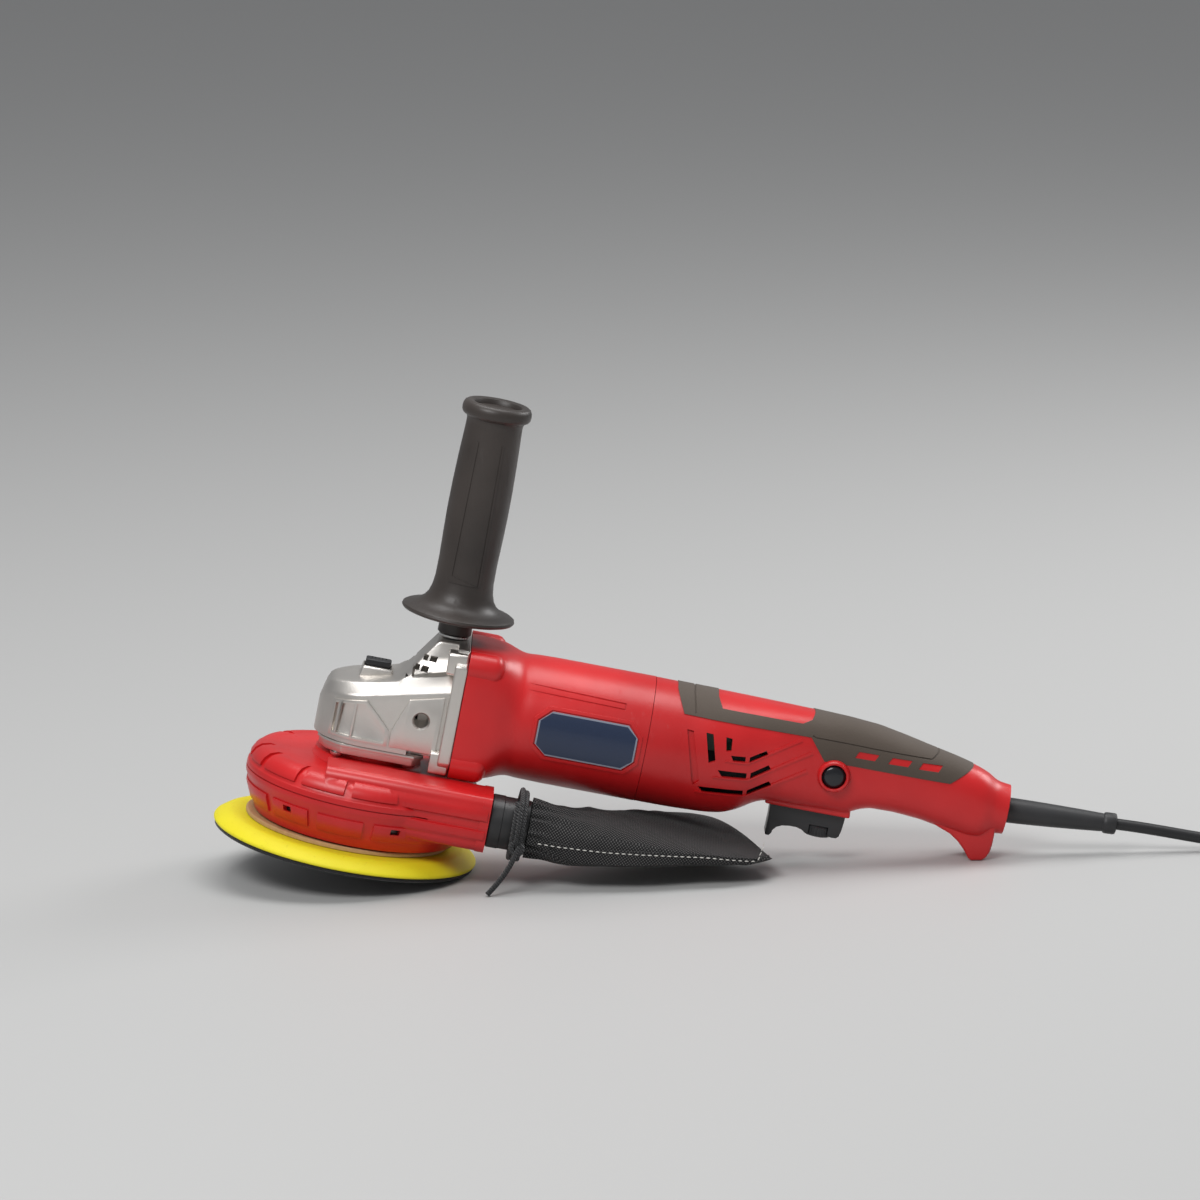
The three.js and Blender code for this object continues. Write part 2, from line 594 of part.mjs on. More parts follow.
piece("side_handle_grip", turned("z", gripProfile, handlePlace, 32), 0x2e2825, 0.6);
const sideStud = rod("z", 4, flangeTopZ - 16.5, gripZ + 39.5, handlePlace, 16);
piece("side_handle_stud", sideStud, STEEL, 0.3, 1);

// Motor housing: a round barrel behind a squared collar, with a screw boss at each corner.
const barrelBore = MOTOR_RADIUS - MOTOR_WALL;
const collarBackX = motorFrontX + COLLAR_LENGTH;
const collarHalf = flangeHalf - 0.6;
const collar = common(
  pushed("x", octagon(collarHalf, flangeCorner - 1), motorFrontX, collarBackX).translate(onAxis),
  turned("x", [[0, motorFrontX], [50, motorFrontX], [50, collarBackX - 16], [MOTOR_RADIUS, collarBackX],
    [0, collarBackX]], onAxis),
);
const rearBearingRadius = 11;
const motorHousing = cut(
  join(collar, rod("x", MOTOR_RADIUS, motorFrontX, motorBackX, onAxis, ROUND)),
  rod("x", barrelBore, motorFrontX - 1, motorBackX - 9, onAxis, ROUND),
  rod("x", rearBearingRadius + GAP, motorBackX - 10, motorBackX + 1, onAxis),
  ...motorScrews.map(([y, z]) => rod("x", 2.4 + GAP, motorFrontX - 1, motorFrontX + 17, [0, y, z], 12)),
);
piece("motor_housing", motorHousing, RED, 0.35);
const labelStart = motorFrontX + 46;
const labelShape = common(
  tube("x", MOTOR_RADIUS + 0.9, MOTOR_RADIUS + GAP, labelStart, labelStart + 56, onAxis, ROUND),
  block([labelStart, labelStart + 56], [-60, 0], [axisZ - 14, axisZ + 14]),
);
piece("name_plate", labelShape, 0x1d2f5a, 0.4);

// Motor: armature on its two bearings, field magnet with two coils, fan and brushes.
const shaftFrontX = pinionBack + 2;
const stackX = motorFrontX + 28;
const stackEndX = stackX + STACK_LENGTH;
const frontBearingX = FLANGE_FRONT - 5 + GAP;
const onShaft = SHAFT_RADIUS + GAP;
const frontBearing = tube("x", frontBearingRadius, onShaft, frontBearingX, flangeBackX - GAP, onAxis);
piece("front_bearing", frontBearing, STEEL, 0.3, 1);
const rearBearing = tube("x", rearBearingRadius, 4 + GAP, motorBackX - 8.5, motorBackX - 0.5, onAxis);
piece("rear_bearing", rearBearing, STEEL, 0.3, 1);
const shaft = join(
  rod("x", 3.5, shaftFrontX, pinionBack + 7, onAxis),
  rod("x", SHAFT_RADIUS, pinionBack + 6.3, motorBackX - 12, onAxis),
  rod("x", 4, motorBackX - 13, motorBackX - 1, onAxis),
);
piece("armature_shaft", shaft, STEEL, 0.25, 1);
const slots = Array.from({ length: 12 }, (_, i) =>
  block([stackX - 1, stackEndX + 1], [-1.5, 1.5], [13, ARMATURE_RADIUS + 1])
    .rotate([i * 30, 0, 0]).translate(onAxis));
const stack = cut(tube("x", ARMATURE_RADIUS, onShaft, stackX, stackEndX, onAxis), ...slots);
piece("armature_core", stack, COPPER, 0.5, 0.6);
const commutatorX = stackEndX + 12;
piece("commutator", tube("x", 12, onShaft, commutatorX, commutatorX + 12, onAxis), COPPER, 0.3, 1);
const fanX = motorFrontX + 5;
const fanRadius = barrelBore - 3;
const coolingBlades = Array.from({ length: 9 }, (_, i) =>
  block([fanX + 1, fanX + 12], [-0.8, 0.8], [12, fanRadius - 1]).rotate([i * 40, 0, 0]).translate(onAxis));
const coolingFan = cut(
  join(
    rod("x", fanRadius, fanX, fanX + 2, onAxis, ROUND),
    rod("x", 9, fanX, fanX + 12, onAxis),
    ...coolingBlades,
  ),
  rod("x", onShaft, fanX - 1, fanX + 13, onAxis),
);
piece("cooling_fan", coolingFan, BLACK, 0.5);
const poleHalf = 0.5;
const magnetOuter = barrelBore - GAP - 0.5;
const magnetInner = magnetOuter - 4;
const poleFace = ARMATURE_RADIUS + 0.8;
const fieldCore = join(
  tube("x", magnetOuter, magnetInner, stackX, stackEndX, onAxis, ROUND),
  sector(poleFace, magnetInner + 1, Math.PI / 2, poleHalf, stackX, stackEndX),
  sector(poleFace, magnetInner + 1, -Math.PI / 2, poleHalf, stackX, stackEndX),
);
piece("field_core", fieldCore, 0x6a6d70, 0.5, 0.9);
for (const [name, middle] of [["upper", Math.PI / 2], ["lower", -Math.PI / 2]]) {
  const coil = cut(
    sector(poleFace + 0.6, magnetInner - GAP, middle, poleHalf + 0.42, stackX - 6, stackEndX + 6),
    sector(poleFace - 1, magnetInner + 1, middle, poleHalf + 0.03, stackX - GAP, stackEndX + GAP),
  );
  piece(`field_coil_${name}`, coil, COPPER, 0.4, 0.8);
}
const HOLDER_WALL = 1.8;
const around = ([from, to], margin) => [from - margin, to + margin];
for (const [name, side] of [["left", -1], ["right", 1]]) {
  const reach = (from, to) => (side > 0 ? [from, to] : [-to, -from]);
  const brushX = [commutatorX + 3, commutatorX + 9];
  const brushZ = [axisZ - 4, axisZ + 4];
  const holder = cut(
    block(around(brushX, HOLDER_WALL), reach(14, barrelBore - 3.5), around(brushZ, HOLDER_WALL)),
    block(around(brushX, GAP), reach(13, barrelBore - 5), around(brushZ, GAP)),
  );
  piece(`brush_holder_${name}`, holder, BRASS, 0.4, 1);
  piece(`brush_${name}`, block(brushX, reach(12.4, 25), brushZ), 0x2a2a2a, 0.8);
}

// Rear handle: two clamshell halves. Places are measured from its front face and the motor axis.
const at = (x, z) => [handleFrontX + x, axisZ + z];
const fromTail = (x, z) => [HANDLE_LENGTH - x, z];
const slotLeft = 75.5;
const slotRight = slotLeft + TRIGGER_LENGTH + 1.2;
const handleTop = [[-14, MOTOR_RADIUS - 0.5], [36, 34.2], [91, 33.7], [129, 32], fromTail(48.3, 26),
  fromTail(23.3, 20), fromTail(2.3, 11)];
const handleTail = [fromTail(0, 0), fromTail(1.3, -10), fromTail(7.3, -17)];
const handleUnder = [
  fromTail(23.3, -21.5), fromTail(48.3, -16), [slotRight + 10.3, -14], [slotRight - 0.7, -20.6],
  [slotLeft - 4, -20.7], [57, -31], [45, -34], [-14, 1 - MOTOR_RADIUS],
];
const handlePlan = [
  [-14, MOTOR_RADIUS], [40, 34], [slotLeft, 24.5], [95, GRIP_HALF_WIDTH + 0.5],
  fromTail(58.3, GRIP_HALF_WIDTH - 0.5), fromTail(13.3, GRIP_HALF_WIDTH - 2), fromTail(0, GRIP_HALF_WIDTH - 5),
];
function handleBody(inset) {
  const side = [
    ...handleTop.map(([x, z]) => at(x - inset * 0.3, z - inset)),
    ...handleTail.map(([x, z]) => at(x - inset, z)),
    ...handleUnder.map(([x, z]) => at(x, z + inset)),
  ];
  const edge = handlePlan.map(([x, y]) => [handleFrontX + Math.min(x, HANDLE_LENGTH - inset), y - inset]);
  const plan = [...edge, ...edge.toReversed().map(([x, y]) => [x, -y])];
  const round = turned("x", [
    [0, handleFrontX - 20],
    [MOTOR_RADIUS - inset, handleFrontX - 20],
    [MOTOR_RADIUS - inset, handleFrontX + 34],
    [MOTOR_RADIUS + 5 - inset, handleFrontX + 70],
    [MOTOR_RADIUS + 5 - inset, handleFrontX + HANDLE_LENGTH + 20],
    [0, handleFrontX + HANDLE_LENGTH + 20],
  ], onAxis);
  const half = MOTOR_RADIUS - inset;
  return common(pushed("y", side, -half, half, 9), pushed("z", plan, -farOut, farOut), round);
}
const footBlock = pushed("y", [
  at(HANDLE_LENGTH - 7.3, -14),
  [footX + FOOT_HALF_LENGTH, floorAt(footX + FOOT_HALF_LENGTH)],
  [footX - FOOT_HALF_LENGTH, floorAt(footX - FOOT_HALF_LENGTH)],
  at(HANDLE_LENGTH - 25.3, -15),
], -FOOT_HALF_WIDTH, FOOT_HALF_WIDTH);
const rubberSide = [at(13, 60), at(13, 34), at(20, 24.7), at(91, 23), at(100.5, 11.5),
  at(...fromTail(34.8, 11.2)), at(...fromTail(21.3, 21)), at(...fromTail(18.3, 60))];
const inlaySide = [at(36, 60), at(37.5, 30), at(88, 30), at(92, 60)];
const rubberDepth = 1.2;
const rubberZone = cut(
  pushed("y", rubberSide, -farOut, farOut),
  pushed("y", inlaySide, -farOut, farOut),
);
const rubberFit = cut(
  pushed("y", rubberSide.map(([x, z]) => [x + (x < at(150, 0)[0] ? GAP : -GAP), z + GAP]), -farOut, farOut),
  pushed("y", inlaySide.map(([x, z], i) => [x + (i < 2 ? -GAP : GAP), z - GAP]), -farOut, farOut),
);
const rubber = cut(common(handleBody(-0.4), rubberFit), handleBody(rubberDepth - GAP));
const RELIEF_HEIGHT = -2;
const reliefHole = [at(HANDLE_LENGTH - 18, 0)[0], at(HANDLE_LENGTH + 5, 0)[0]];
const lockX = slotRight - 12.7;
const lockZ = 3;
const lockSide = -GRIP_HALF_WIDTH - 0.5;
const ventSlots = [
  [[57, 12], [60, 12], [66, -8], [63, -8]],
  [[68, 10], [71, 10], [74, 2], [71, 2]],
  [[66, -14], [92, -14], [92, -17], [66, -17]],
  [[72, -5], [88, -5], [88, -8], [72, -8]],
].map((points) => pushed("y", points.map(([x, z]) => at(x - 40, z)), -farOut, farOut));
const shell = cut(
  join(handleBody(0), footBlock),
  cut(rubberZone, handleBody(rubberDepth)),
  handleBody(HANDLE_WALL),
  block([0, handleFrontX], [-farOut, farOut], [-farOut, farOut]),
  block([at(slotLeft, 0)[0], at(slotRight, 0)[0]],
    [-TRIGGER_HALF_WIDTH - 0.6, TRIGGER_HALF_WIDTH + 0.6], [axisZ - 30, axisZ - 12]),
  rod("x", RELIEF_RADIUS + 0.6, ...reliefHole, [0, 0, axisZ + RELIEF_HEIGHT]),
  ...ventSlots,
);
const lockPlace = [at(lockX, 0)[0], 0, axisZ + lockZ];
const leftHalf = block([0, 900], [-farOut, -GAP / 2], [-farOut, farOut]);
const rightHalf = block([0, 900], [GAP / 2, farOut], [-farOut, farOut]);
const lockRing = rod("y", LOCK_BUTTON_RADIUS + 1.8, lockSide - 1.2, lockSide + 3.4, lockPlace);
const leftShell = cut(
  join(common(shell, leftHalf), lockRing),
  rod("y", LOCK_BUTTON_RADIUS + 0.4, lockSide - 5, lockSide + 5, lockPlace),
);
piece("handle_shell_left", leftShell, RED, 0.35);
piece("handle_shell_right", common(shell, rightHalf), RED, 0.35);
piece("grip_overmould", rubber, RUBBER, 0.8);

// Switch, with its trigger, the lock-on button and the speed dial and its circuit.
const switchBottom = -7.5;
const switchDepth = 11;
const switchBody = block(
  [at(slotLeft + 2.5, 0)[0], at(slotRight - 2, 0)[0]],
  [-switchDepth + 1, switchDepth],
  [axisZ + switchBottom, axisZ + 14],
);
piece("switch_body", switchBody, 0x2b2b2b, 0.6);
const dialX = slotLeft + 30;
const dialPlace = [at(dialX, 0)[0], 0, axisZ];
const triggerTop = switchBottom - TRIGGER_TRAVEL - 1;
const triggerOutline = [[0, triggerTop], [0, -21], [1, -40], [3.5, -40], [5.5, -35], [11, -33], [18, -33],
  [24, -35.5], [32, -33.8], [40, -32.4], [TRIGGER_LENGTH, -29], [TRIGGER_LENGTH, triggerTop]];
const triggerStart = slotLeft + 0.6;
const trigger = join(
  cut(
    join(
      pushed("y", triggerOutline.map(([x, z]) => at(triggerStart + x, z)), -TRIGGER_HALF_WIDTH,
        TRIGGER_HALF_WIDTH),
      block([at(triggerStart - 1.4, 0)[0], at(triggerStart + TRIGGER_LENGTH - 1, 0)[0]],
        [-TRIGGER_HALF_WIDTH - 2, TRIGGER_HALF_WIDTH + 2], [axisZ + triggerTop - 2, axisZ + triggerTop]),
    ),
    rod("z", DIAL_RADIUS + 0.6, -50, -29.7, dialPlace),
  ),
  rod("z", 2.2, -33, -29, dialPlace, 12),
);
piece("trigger", trigger, BLACK, 0.4);
const dialProfile = [[0, -36], [DIAL_RADIUS - 0.8, -36], [DIAL_RADIUS, -35.2], [DIAL_RADIUS, -30.8],
  [DIAL_RADIUS - 0.8, -30], [2.5, -30], [2.5, -33.4], [0, -33.4]];
piece("speed_dial", turned("z", dialProfile, dialPlace, SMALL_ROUND), BLACK, 0.4);
const lockTravel = 3;
const lockFoot = -switchDepth - lockTravel - 0.5;
const lockButtonOn = join(
  rod("y", LOCK_BUTTON_RADIUS, lockSide - 2.2, lockFoot, lockPlace),
  rod("y", LOCK_BUTTON_RADIUS + 2, lockFoot - 1.8, lockFoot, lockPlace),
);
piece("lock_on_button", lockButtonOn, BLACK, 0.35);
piece("speed_module", block([at(20, 0)[0], at(50, 0)[0]], [-18, 18], [axisZ + 4, axisZ + 24]), 0x20603a, 0.6);

// Strain relief at the tail, tilted a little upwards.
const RELIEF_TILT = -3.3;
const reliefProfile = [
  [0, -11], [RELIEF_RADIUS + 1.6, -11], [RELIEF_RADIUS + 1.6, -7.5],
  [RELIEF_RADIUS, -7.5], [RELIEF_RADIUS, 2],
  [RELIEF_RADIUS - 2.1, RELIEF_LENGTH - 8], [RELIEF_RADIUS - 1.2, RELIEF_LENGTH - 6],
  [RELIEF_RADIUS - 1.2, RELIEF_LENGTH], [0, RELIEF_LENGTH],
];
const reliefPlace = [at(HANDLE_LENGTH, 0)[0], 0, axisZ + RELIEF_HEIGHT];
const relief = turned("x", reliefProfile, [0, 0, 0], SMALL_ROUND).rotate([0, RELIEF_TILT, 0]);
piece("strain_relief", relief.translate(reliefPlace), BLACK, 0.6);

// The origin goes under the middle of the machine.
machine.updateMatrixWorld(true);
const extent = new THREE.Box3().setFromObject(machine, true);
machine.position.x -= (extent.min.x + extent.max.x) / 2;
machine.position.y -= (extent.min.y + extent.max.y) / 2;
machine.updateMatrixWorld(true);

// Mains lead: down from the strain relief to the floor, along it, and into a round coil.
// Each point is how far it is from the tip along X and Y, and its share of the tip's height.
const LEAD_ROUTE = [
  [0, 0, 1], [12, 0, 0.85], [24, 0, 0.68], [36, 0, 0.5], [48, 0, 0.32], [60, -1, 0.16], [72, -4, 0.06],
  [84, -9, 0], [94, -14, 0], [102, -17.5, 0], [110, -19.5, 0], [118, -20, 0],
];
const COIL_AWAY = 146;
const LEAD_SIDE = -20;
const tiltRad = THREE.MathUtils.degToRad(RELIEF_TILT);
const tip = new THREE.Vector3(
  reliefPlace[0] + (RELIEF_LENGTH + GAP) * Math.cos(tiltRad),
  0,
  reliefPlace[2] - (RELIEF_LENGTH + GAP) * Math.sin(tiltRad),
).applyMatrix4(machine.matrixWorld);
const cordRest = CORD_DIAMETER / 2 + 0.1;
const leadPoints = LEAD_ROUTE.map(([x, y, share]) =>
  new THREE.Vector3(tip.x + x, tip.y + y, cordRest + (tip.z - cordRest) * share));
piece("cord_lead", cordTube(leadPoints, CORD_DIAMETER, 10, 16), BLACK, 0.5, 0, root);

const outerTurn = COIL_MEAN_RADIUS + (COIL_COLUMNS - 1) * CORD_DIAMETER / 2;
const coilX = tip.x + COIL_AWAY;
const coilY = tip.y + LEAD_SIDE + outerTurn;
const coilHalfWidth = COIL_COLUMNS * CORD_DIAMETER / 2;
const coilHeight = COIL_LAYERS * CORD_DIAMETER;
const coilOuter = COIL_MEAN_RADIUS + coilHalfWidth;
const coilInner = COIL_MEAN_RADIUS - coilHalfWidth;
const coilRing = tube("z", coilOuter, coilInner, 0.1, coilHeight, [coilX, coilY, 0], 32);
const PLUG_HALF_THICKNESS = 7;
const topTurnZ = coilHeight - CORD_DIAMETER / 2;
const TAIL_ROUTE = [[0, 0, 1], [0, 14, 0.9], [0, 28, 0.62], [0.5, 42, 0.3], [1, 56, 0.08], [1, 70, 0]];
const tailPoints = TAIL_ROUTE.map(([x, y, share]) => new THREE.Vector3(
  coilX + outerTurn + x,
  coilY + y,
  PLUG_HALF_THICKNESS + (topTurnZ - PLUG_HALF_THICKNESS) * share,
));
const tailTube = cordTube(tailPoints, CORD_DIAMETER, 10, 8);
piece("cord_coil", join(coilRing, tailTube), BLACK, 0.5, 0, root);

// Plug: a flat moulded body with two round pins, lying on the floor.
const plugX = coilX + outerTurn + 1;
const plugY = coilY + 70 + GAP;
const plugOutline = [[-5, 0], [5, 0], [7, 14], [13, 24], [13, 38], [-13, 38], [-13, 24], [-7, 14]];
const plugBody = pushed("z", plugOutline, 0, 2 * PLUG_HALF_THICKNESS);
piece("plug_body", plugBody.translate([plugX, plugY, 0.1]), BLACK, 0.5, 0, root);
for (const [name, side] of [["left", -1], ["right", 1]]) {
  const pin = rod("y", 2.2, 38 + GAP, 57, [plugX + side * 9, plugY, PLUG_HALF_THICKNESS], 12);
  piece(`plug_pin_${name}`, pin, BRASS, 0.3, 1, root);
}

export default root;
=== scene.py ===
import json
import math
import random

import bpy
import numpy as np
from mathutils import Matrix, Vector


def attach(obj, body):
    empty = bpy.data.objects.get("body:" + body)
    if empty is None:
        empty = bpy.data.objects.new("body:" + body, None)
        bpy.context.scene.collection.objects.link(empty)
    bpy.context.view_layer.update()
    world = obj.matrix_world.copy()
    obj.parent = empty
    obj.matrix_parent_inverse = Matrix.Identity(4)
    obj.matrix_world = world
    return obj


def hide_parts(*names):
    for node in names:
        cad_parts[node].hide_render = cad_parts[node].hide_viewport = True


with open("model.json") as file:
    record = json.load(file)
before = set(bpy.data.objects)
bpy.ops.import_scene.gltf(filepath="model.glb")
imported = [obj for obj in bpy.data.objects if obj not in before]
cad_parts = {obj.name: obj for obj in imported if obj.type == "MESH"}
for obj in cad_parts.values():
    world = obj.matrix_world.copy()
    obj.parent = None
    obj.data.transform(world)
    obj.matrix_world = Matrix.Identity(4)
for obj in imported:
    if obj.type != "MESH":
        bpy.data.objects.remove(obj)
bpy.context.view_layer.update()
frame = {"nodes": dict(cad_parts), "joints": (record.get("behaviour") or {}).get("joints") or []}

# ---------------------------------------------------------------------------------------------------
# The studio: a pale floor that runs far back, soft light from above and a long lens.
# The machine is drawn in millimetres with its spindle upright, then pitched on to the rim of its pad
# and the foot of its handle: MACHINE carries such a drawing into place.
spindle = next(j for j in frame["joints"] if j["name"] == "spindle_spin")
spindle_axis = Vector(spindle["axis"])
SPINDLE_MARK = 0.05
MACHINE = (
    Matrix.Translation(Vector(spindle["pos_m"]) - SPINDLE_MARK * spindle_axis)
    @ Matrix.Rotation(math.atan2(spindle_axis.x, spindle_axis.z), 4, "Y")
    @ Matrix.Scale(0.001, 4)
)
FLOOR_COLOR = (0.45, 0.45, 0.445, 1)


def clear():
    """Leaves edit mode and selects nothing."""
    if bpy.context.object and bpy.context.object.mode != "OBJECT":
        bpy.ops.object.mode_set(mode="OBJECT")
    bpy.ops.object.select_all(action="DESELECT")


def pick(piece):
    """Makes one piece the only selected and active one."""
    clear()
    piece.select_set(True)
    bpy.context.view_layer.objects.active = piece
    return piece


def soft_light(name, place, aim, width, power, tint=(1, 1, 1)):
    clear()
    bpy.ops.object.light_add(type="AREA", location=place)
    lamp = bpy.context.object
    lamp.name = name
    lamp.data.shape = "RECTANGLE"
    lamp.data.size = width
    lamp.data.size_y = width * 0.6
    lamp.data.energy = power
    lamp.data.color = tint
    lamp.rotation_euler = (Vector(aim) - Vector(place)).to_track_quat("-Z", "Y").to_euler()


clear()
bpy.ops.mesh.primitive_plane_add(size=12, location=(0, 0, 0))
floor = bpy.context.object
floor.name = "studio_floor"
floor_look = bpy.data.materials.new("pale_floor")
floor_look.use_nodes = True
floor_shader = floor_look.node_tree.nodes["Principled BSDF"]
floor_shader.inputs["Base Color"].default_value = FLOOR_COLOR
floor_shader.inputs["Roughness"].default_value = 0.55
floor.data.materials.append(floor_look)

soft_light("key", (-0.9, -1.6, 1.9), (-0.05, 0, 0.08), width=1.3, power=38)
soft_light("overhead", (0.1, 0.3, 2.2), (0, 0, 0.05), width=1.8, power=32)
soft_light("rim", (1.4, 0.9, 1.1), (0, 0, 0.1), width=0.9, power=14)
world = bpy.data.worlds.new("studio") if not bpy.data.worlds else bpy.data.worlds[0]
bpy.context.scene.world = world
world.use_nodes = True
world.node_tree.nodes["Background"].inputs["Color"].default_value = (0.72, 0.73, 0.75, 1)
world.node_tree.nodes["Background"].inputs["Strength"].default_value = 0.4

bpy.context.scene.view_settings.view_transform = "Standard"

# The camera looks along the far axis from well back, a little above the machine.
AIM = Vector((-0.0345, 0, 0.1525))
DISTANCE = 4.0
ELEVATION = math.radians(11.6)
ROLL = math.radians(-1.3)
VIEW_WIDTH = 0.672
bpy.ops.object.camera_add()
camera = bpy.context.object
camera.data.lens = camera.data.sensor_width * DISTANCE / VIEW_WIDTH
back = Vector((0, -math.cos(ELEVATION), math.sin(ELEVATION)))
camera.rotation_mode = "QUATERNION"
level = (-back).to_track_quat("-Z", "Y")
camera.rotation_quaternion = level @ Matrix.Rotation(ROLL, 3, "Z").to_quaternion()
camera.location = AIM + DISTANCE * back
camera.data.clip_end = 60
bpy.context.scene.camera = camera

# ---------------------------------------------------------------------------------------------------
# Mains lead: a round two-core cable in a black sheath, moulded to its plug. It drops from the tail to
# the table, runs along it, and the length that isn't in use is wound into a tied coil.
CORD = 0.0065
CORD_REST = CORD / 2 + 0.0001
RELIEF_TIP = (0.3596, 0, 0.0899)
RELIEF_TILT = math.radians(3.3)
RELIEF_LENGTH = 0.0623
tip = MACHINE @ (
    1000 * Vector(RELIEF_TIP)
    + 1000 * RELIEF_LENGTH * Vector((math.cos(RELIEF_TILT), 0, math.sin(RELIEF_TILT)))
)
tip -= MACHINE.to_3x3() @ Vector((0.3, 0, 0))
LEAD_ROUTE = [
    (0, 0, 1), (0.012, 0, 0.85), (0.024, 0, 0.68), (0.036, 0, 0.5), (0.048, 0, 0.32), (0.06, -0.001, 0.16),
    (0.072, -0.004, 0.06), (0.084, -0.009, 0), (0.094, -0.014, 0), (0.102, -0.0175, 0), (0.11, -0.0195, 0),
    (0.118, -0.02, 0),
]
COIL_AWAY = 0.146
COIL_MEAN = 0.0375
OUTER_TURN = COIL_MEAN + CORD
COIL_TURNS = [OUTER_TURN, COIL_MEAN, COIL_MEAN - CORD, COIL_MEAN - CORD, COIL_MEAN, OUTER_TURN] * 2
STEPS_A_TURN = 24
STEP_OVER = 6
coil_center = Vector((tip.x + COIL_AWAY, tip.y - 0.02 + OUTER_TURN, 0))
TAIL_ROUTE = [
    (0, 0.014, 0.9), (0, 0.028, 0.62), (0.0005, 0.042, 0.3), (0.001, 0.056, 0.08), (0.001, 0.07, 0),
]
PLUG_HALF = 0.007

route = [
    Vector((tip.x + x, tip.y + y, CORD_REST + (tip.z - CORD_REST) * share))
    for x, y, share in LEAD_ROUTE
]
turns = COIL_TURNS + [OUTER_TURN]
last_step = STEPS_A_TURN * len(COIL_TURNS) + STEPS_A_TURN // 4
for step in range(last_step + 1):
    turn, part = divmod(step, STEPS_A_TURN)
    ease = max(0, part - (STEPS_A_TURN - STEP_OVER)) / STEP_OVER
    ease = ease * ease * (3 - 2 * ease)
    following = min(turn + 1, len(turns) - 1)
    radius = turns[turn] + (turns[following] - turns[turn]) * ease
    rise = (turn // 3 + (following // 3 - turn // 3) * ease) * CORD
    angle = 2 * math.pi * step / STEPS_A_TURN - math.pi / 2
    route.append(
        coil_center + Vector((radius * math.cos(angle), radius * math.sin(angle), CORD_REST + rise))
    )
top = route[-1]
route += [
    Vector((top.x + x, top.y + y, PLUG_HALF + (top.z - PLUG_HALF) * share))
    for x, y, share in TAIL_ROUTE
]


def cord_curve(name, points, diameter, turns_round=6):
    """A round cord along its points, as a curve of one open spline."""
    clear()
    bpy.ops.curve.primitive_bezier_curve_add()
    made = bpy.context.object
    made.name = name
    made.data.splines.clear()
    spline = made.data.splines.new("BEZIER")
    spline.bezier_points.add(len(points) - 1)
    for knot, point in zip(spline.bezier_points, points):
        knot.co = point
        knot.handle_left_type = "AUTO"
        knot.handle_right_type = "AUTO"
    made.data.bevel_depth = diameter / 2
    made.data.bevel_resolution = turns_round
    made.data.resolution_u = 4
    made.data.use_fill_caps = True
    return made


# Materials are written as sums on shader sockets: a Wire is one socket, and a Look is one material.
class Wire:
    def __init__(self, look, socket):
        self.look = look
        self.socket = socket

    def math(self, operation, *values):
        return self.look.node("ShaderNodeMath", {"operation": operation}, dict(enumerate(values)))

    def __add__(self, other):
        return self.math("ADD", self, other)

    def __sub__(self, other):
        return self.math("SUBTRACT", self, other)

    def __rsub__(self, other):
        return self.math("SUBTRACT", other, self)

    def __mul__(self, other):
        return self.math("MULTIPLY", self, other)

    def __pow__(self, other):
        return self.math("POWER", self, other)

    def __gt__(self, other):
        return self.math("GREATER_THAN", self, other)

    def __lt__(self, other):
        return self.math("LESS_THAN", self, other)

    __radd__ = __add__
    __rmul__ = __mul__

    def sine(self):
        return self.math("SINE", self)

    def most(self, other):
        return self.math("MAXIMUM", self, other)

    def size(self):
        return self.math("ABSOLUTE", self)


class Look:
    def __init__(self, name, **constants):
        self.material = bpy.data.materials.new(name)
        self.material.use_nodes = True
        self.tree = self.material.node_tree
        self.shader = self.tree.nodes["Principled BSDF"]
        for socket, value in constants.items():
            self.shader.inputs[socket.replace("_", " ")].default_value = value
        self.place = self.node("ShaderNodeTexCoord", {}, {}, "Object")

    def node(self, kind, settings, inputs, output=0):
        """One shader node: its settings first, then the value or the wire of each input."""
        made = self.tree.nodes.new(kind)
        for setting, value in settings.items():
            if setting == "stops":
                ramp = made.color_ramp.elements
                while len(ramp) < len(value):
                    ramp.new(1)
                for stop, (position, color) in zip(ramp, value):
                    stop.position = position
                    stop.color = color if len(color) == 4 else (*color, 1)
            else:
                setattr(made, setting, value)
        for socket, value in inputs.items():
            if isinstance(value, Wire):
                self.tree.links.new(value.socket, made.inputs[socket])
            elif value is not None:
                made.inputs[socket].default_value = value
        return Wire(self, made.outputs[output])

    def noise(self, scale, detail=4.0, roughness=0.55, stretch=(1, 1, 1)):
        where = self.node("ShaderNodeMapping", {}, {"Vector": self.place, "Scale": stretch})
        return self.node(
            "ShaderNodeTexNoise", {},
            {"Vector": where, "Scale": scale, "Detail": detail, "Roughness": roughness}
        )

    def part(self, axis, source=None):
        return self.node("ShaderNodeSeparateXYZ", {}, {0: source or self.place}, axis)

    def ramp(self, factor, *stops):
        return self.node("ShaderNodeValToRGB", {"stops": stops}, {"Fac": factor})

    def blend(self, factor, first, second):
        inputs = {"Factor": factor, 6: (*first, 1) if isinstance(first, tuple) else first}
        inputs[7] = (*second, 1) if isinstance(second, tuple) else second
        return self.node("ShaderNodeMix", {"data_type": "RGBA"}, inputs, 2)

    def finish(self, color, roughness, height=None, depth=0.0001, **others):
        """Feeds what changes over the surface: colour, roughness and a height in metres for its relief."""
        feeds = {"Base Color": color, "Roughness": roughness, **others}
        if height is not None:
            feeds["Normal"] = self.node("ShaderNodeBump", {}, {"Height": height, "Distance": depth}, 0)
        for socket, wire in feeds.items():
            if isinstance(wire, Wire):
                self.tree.links.new(wire.socket, self.shader.inputs[socket])
            else:
                value = (*wire, 1) if isinstance(wire, tuple) else wire
                self.shader.inputs[socket].default_value = value
        return self.material


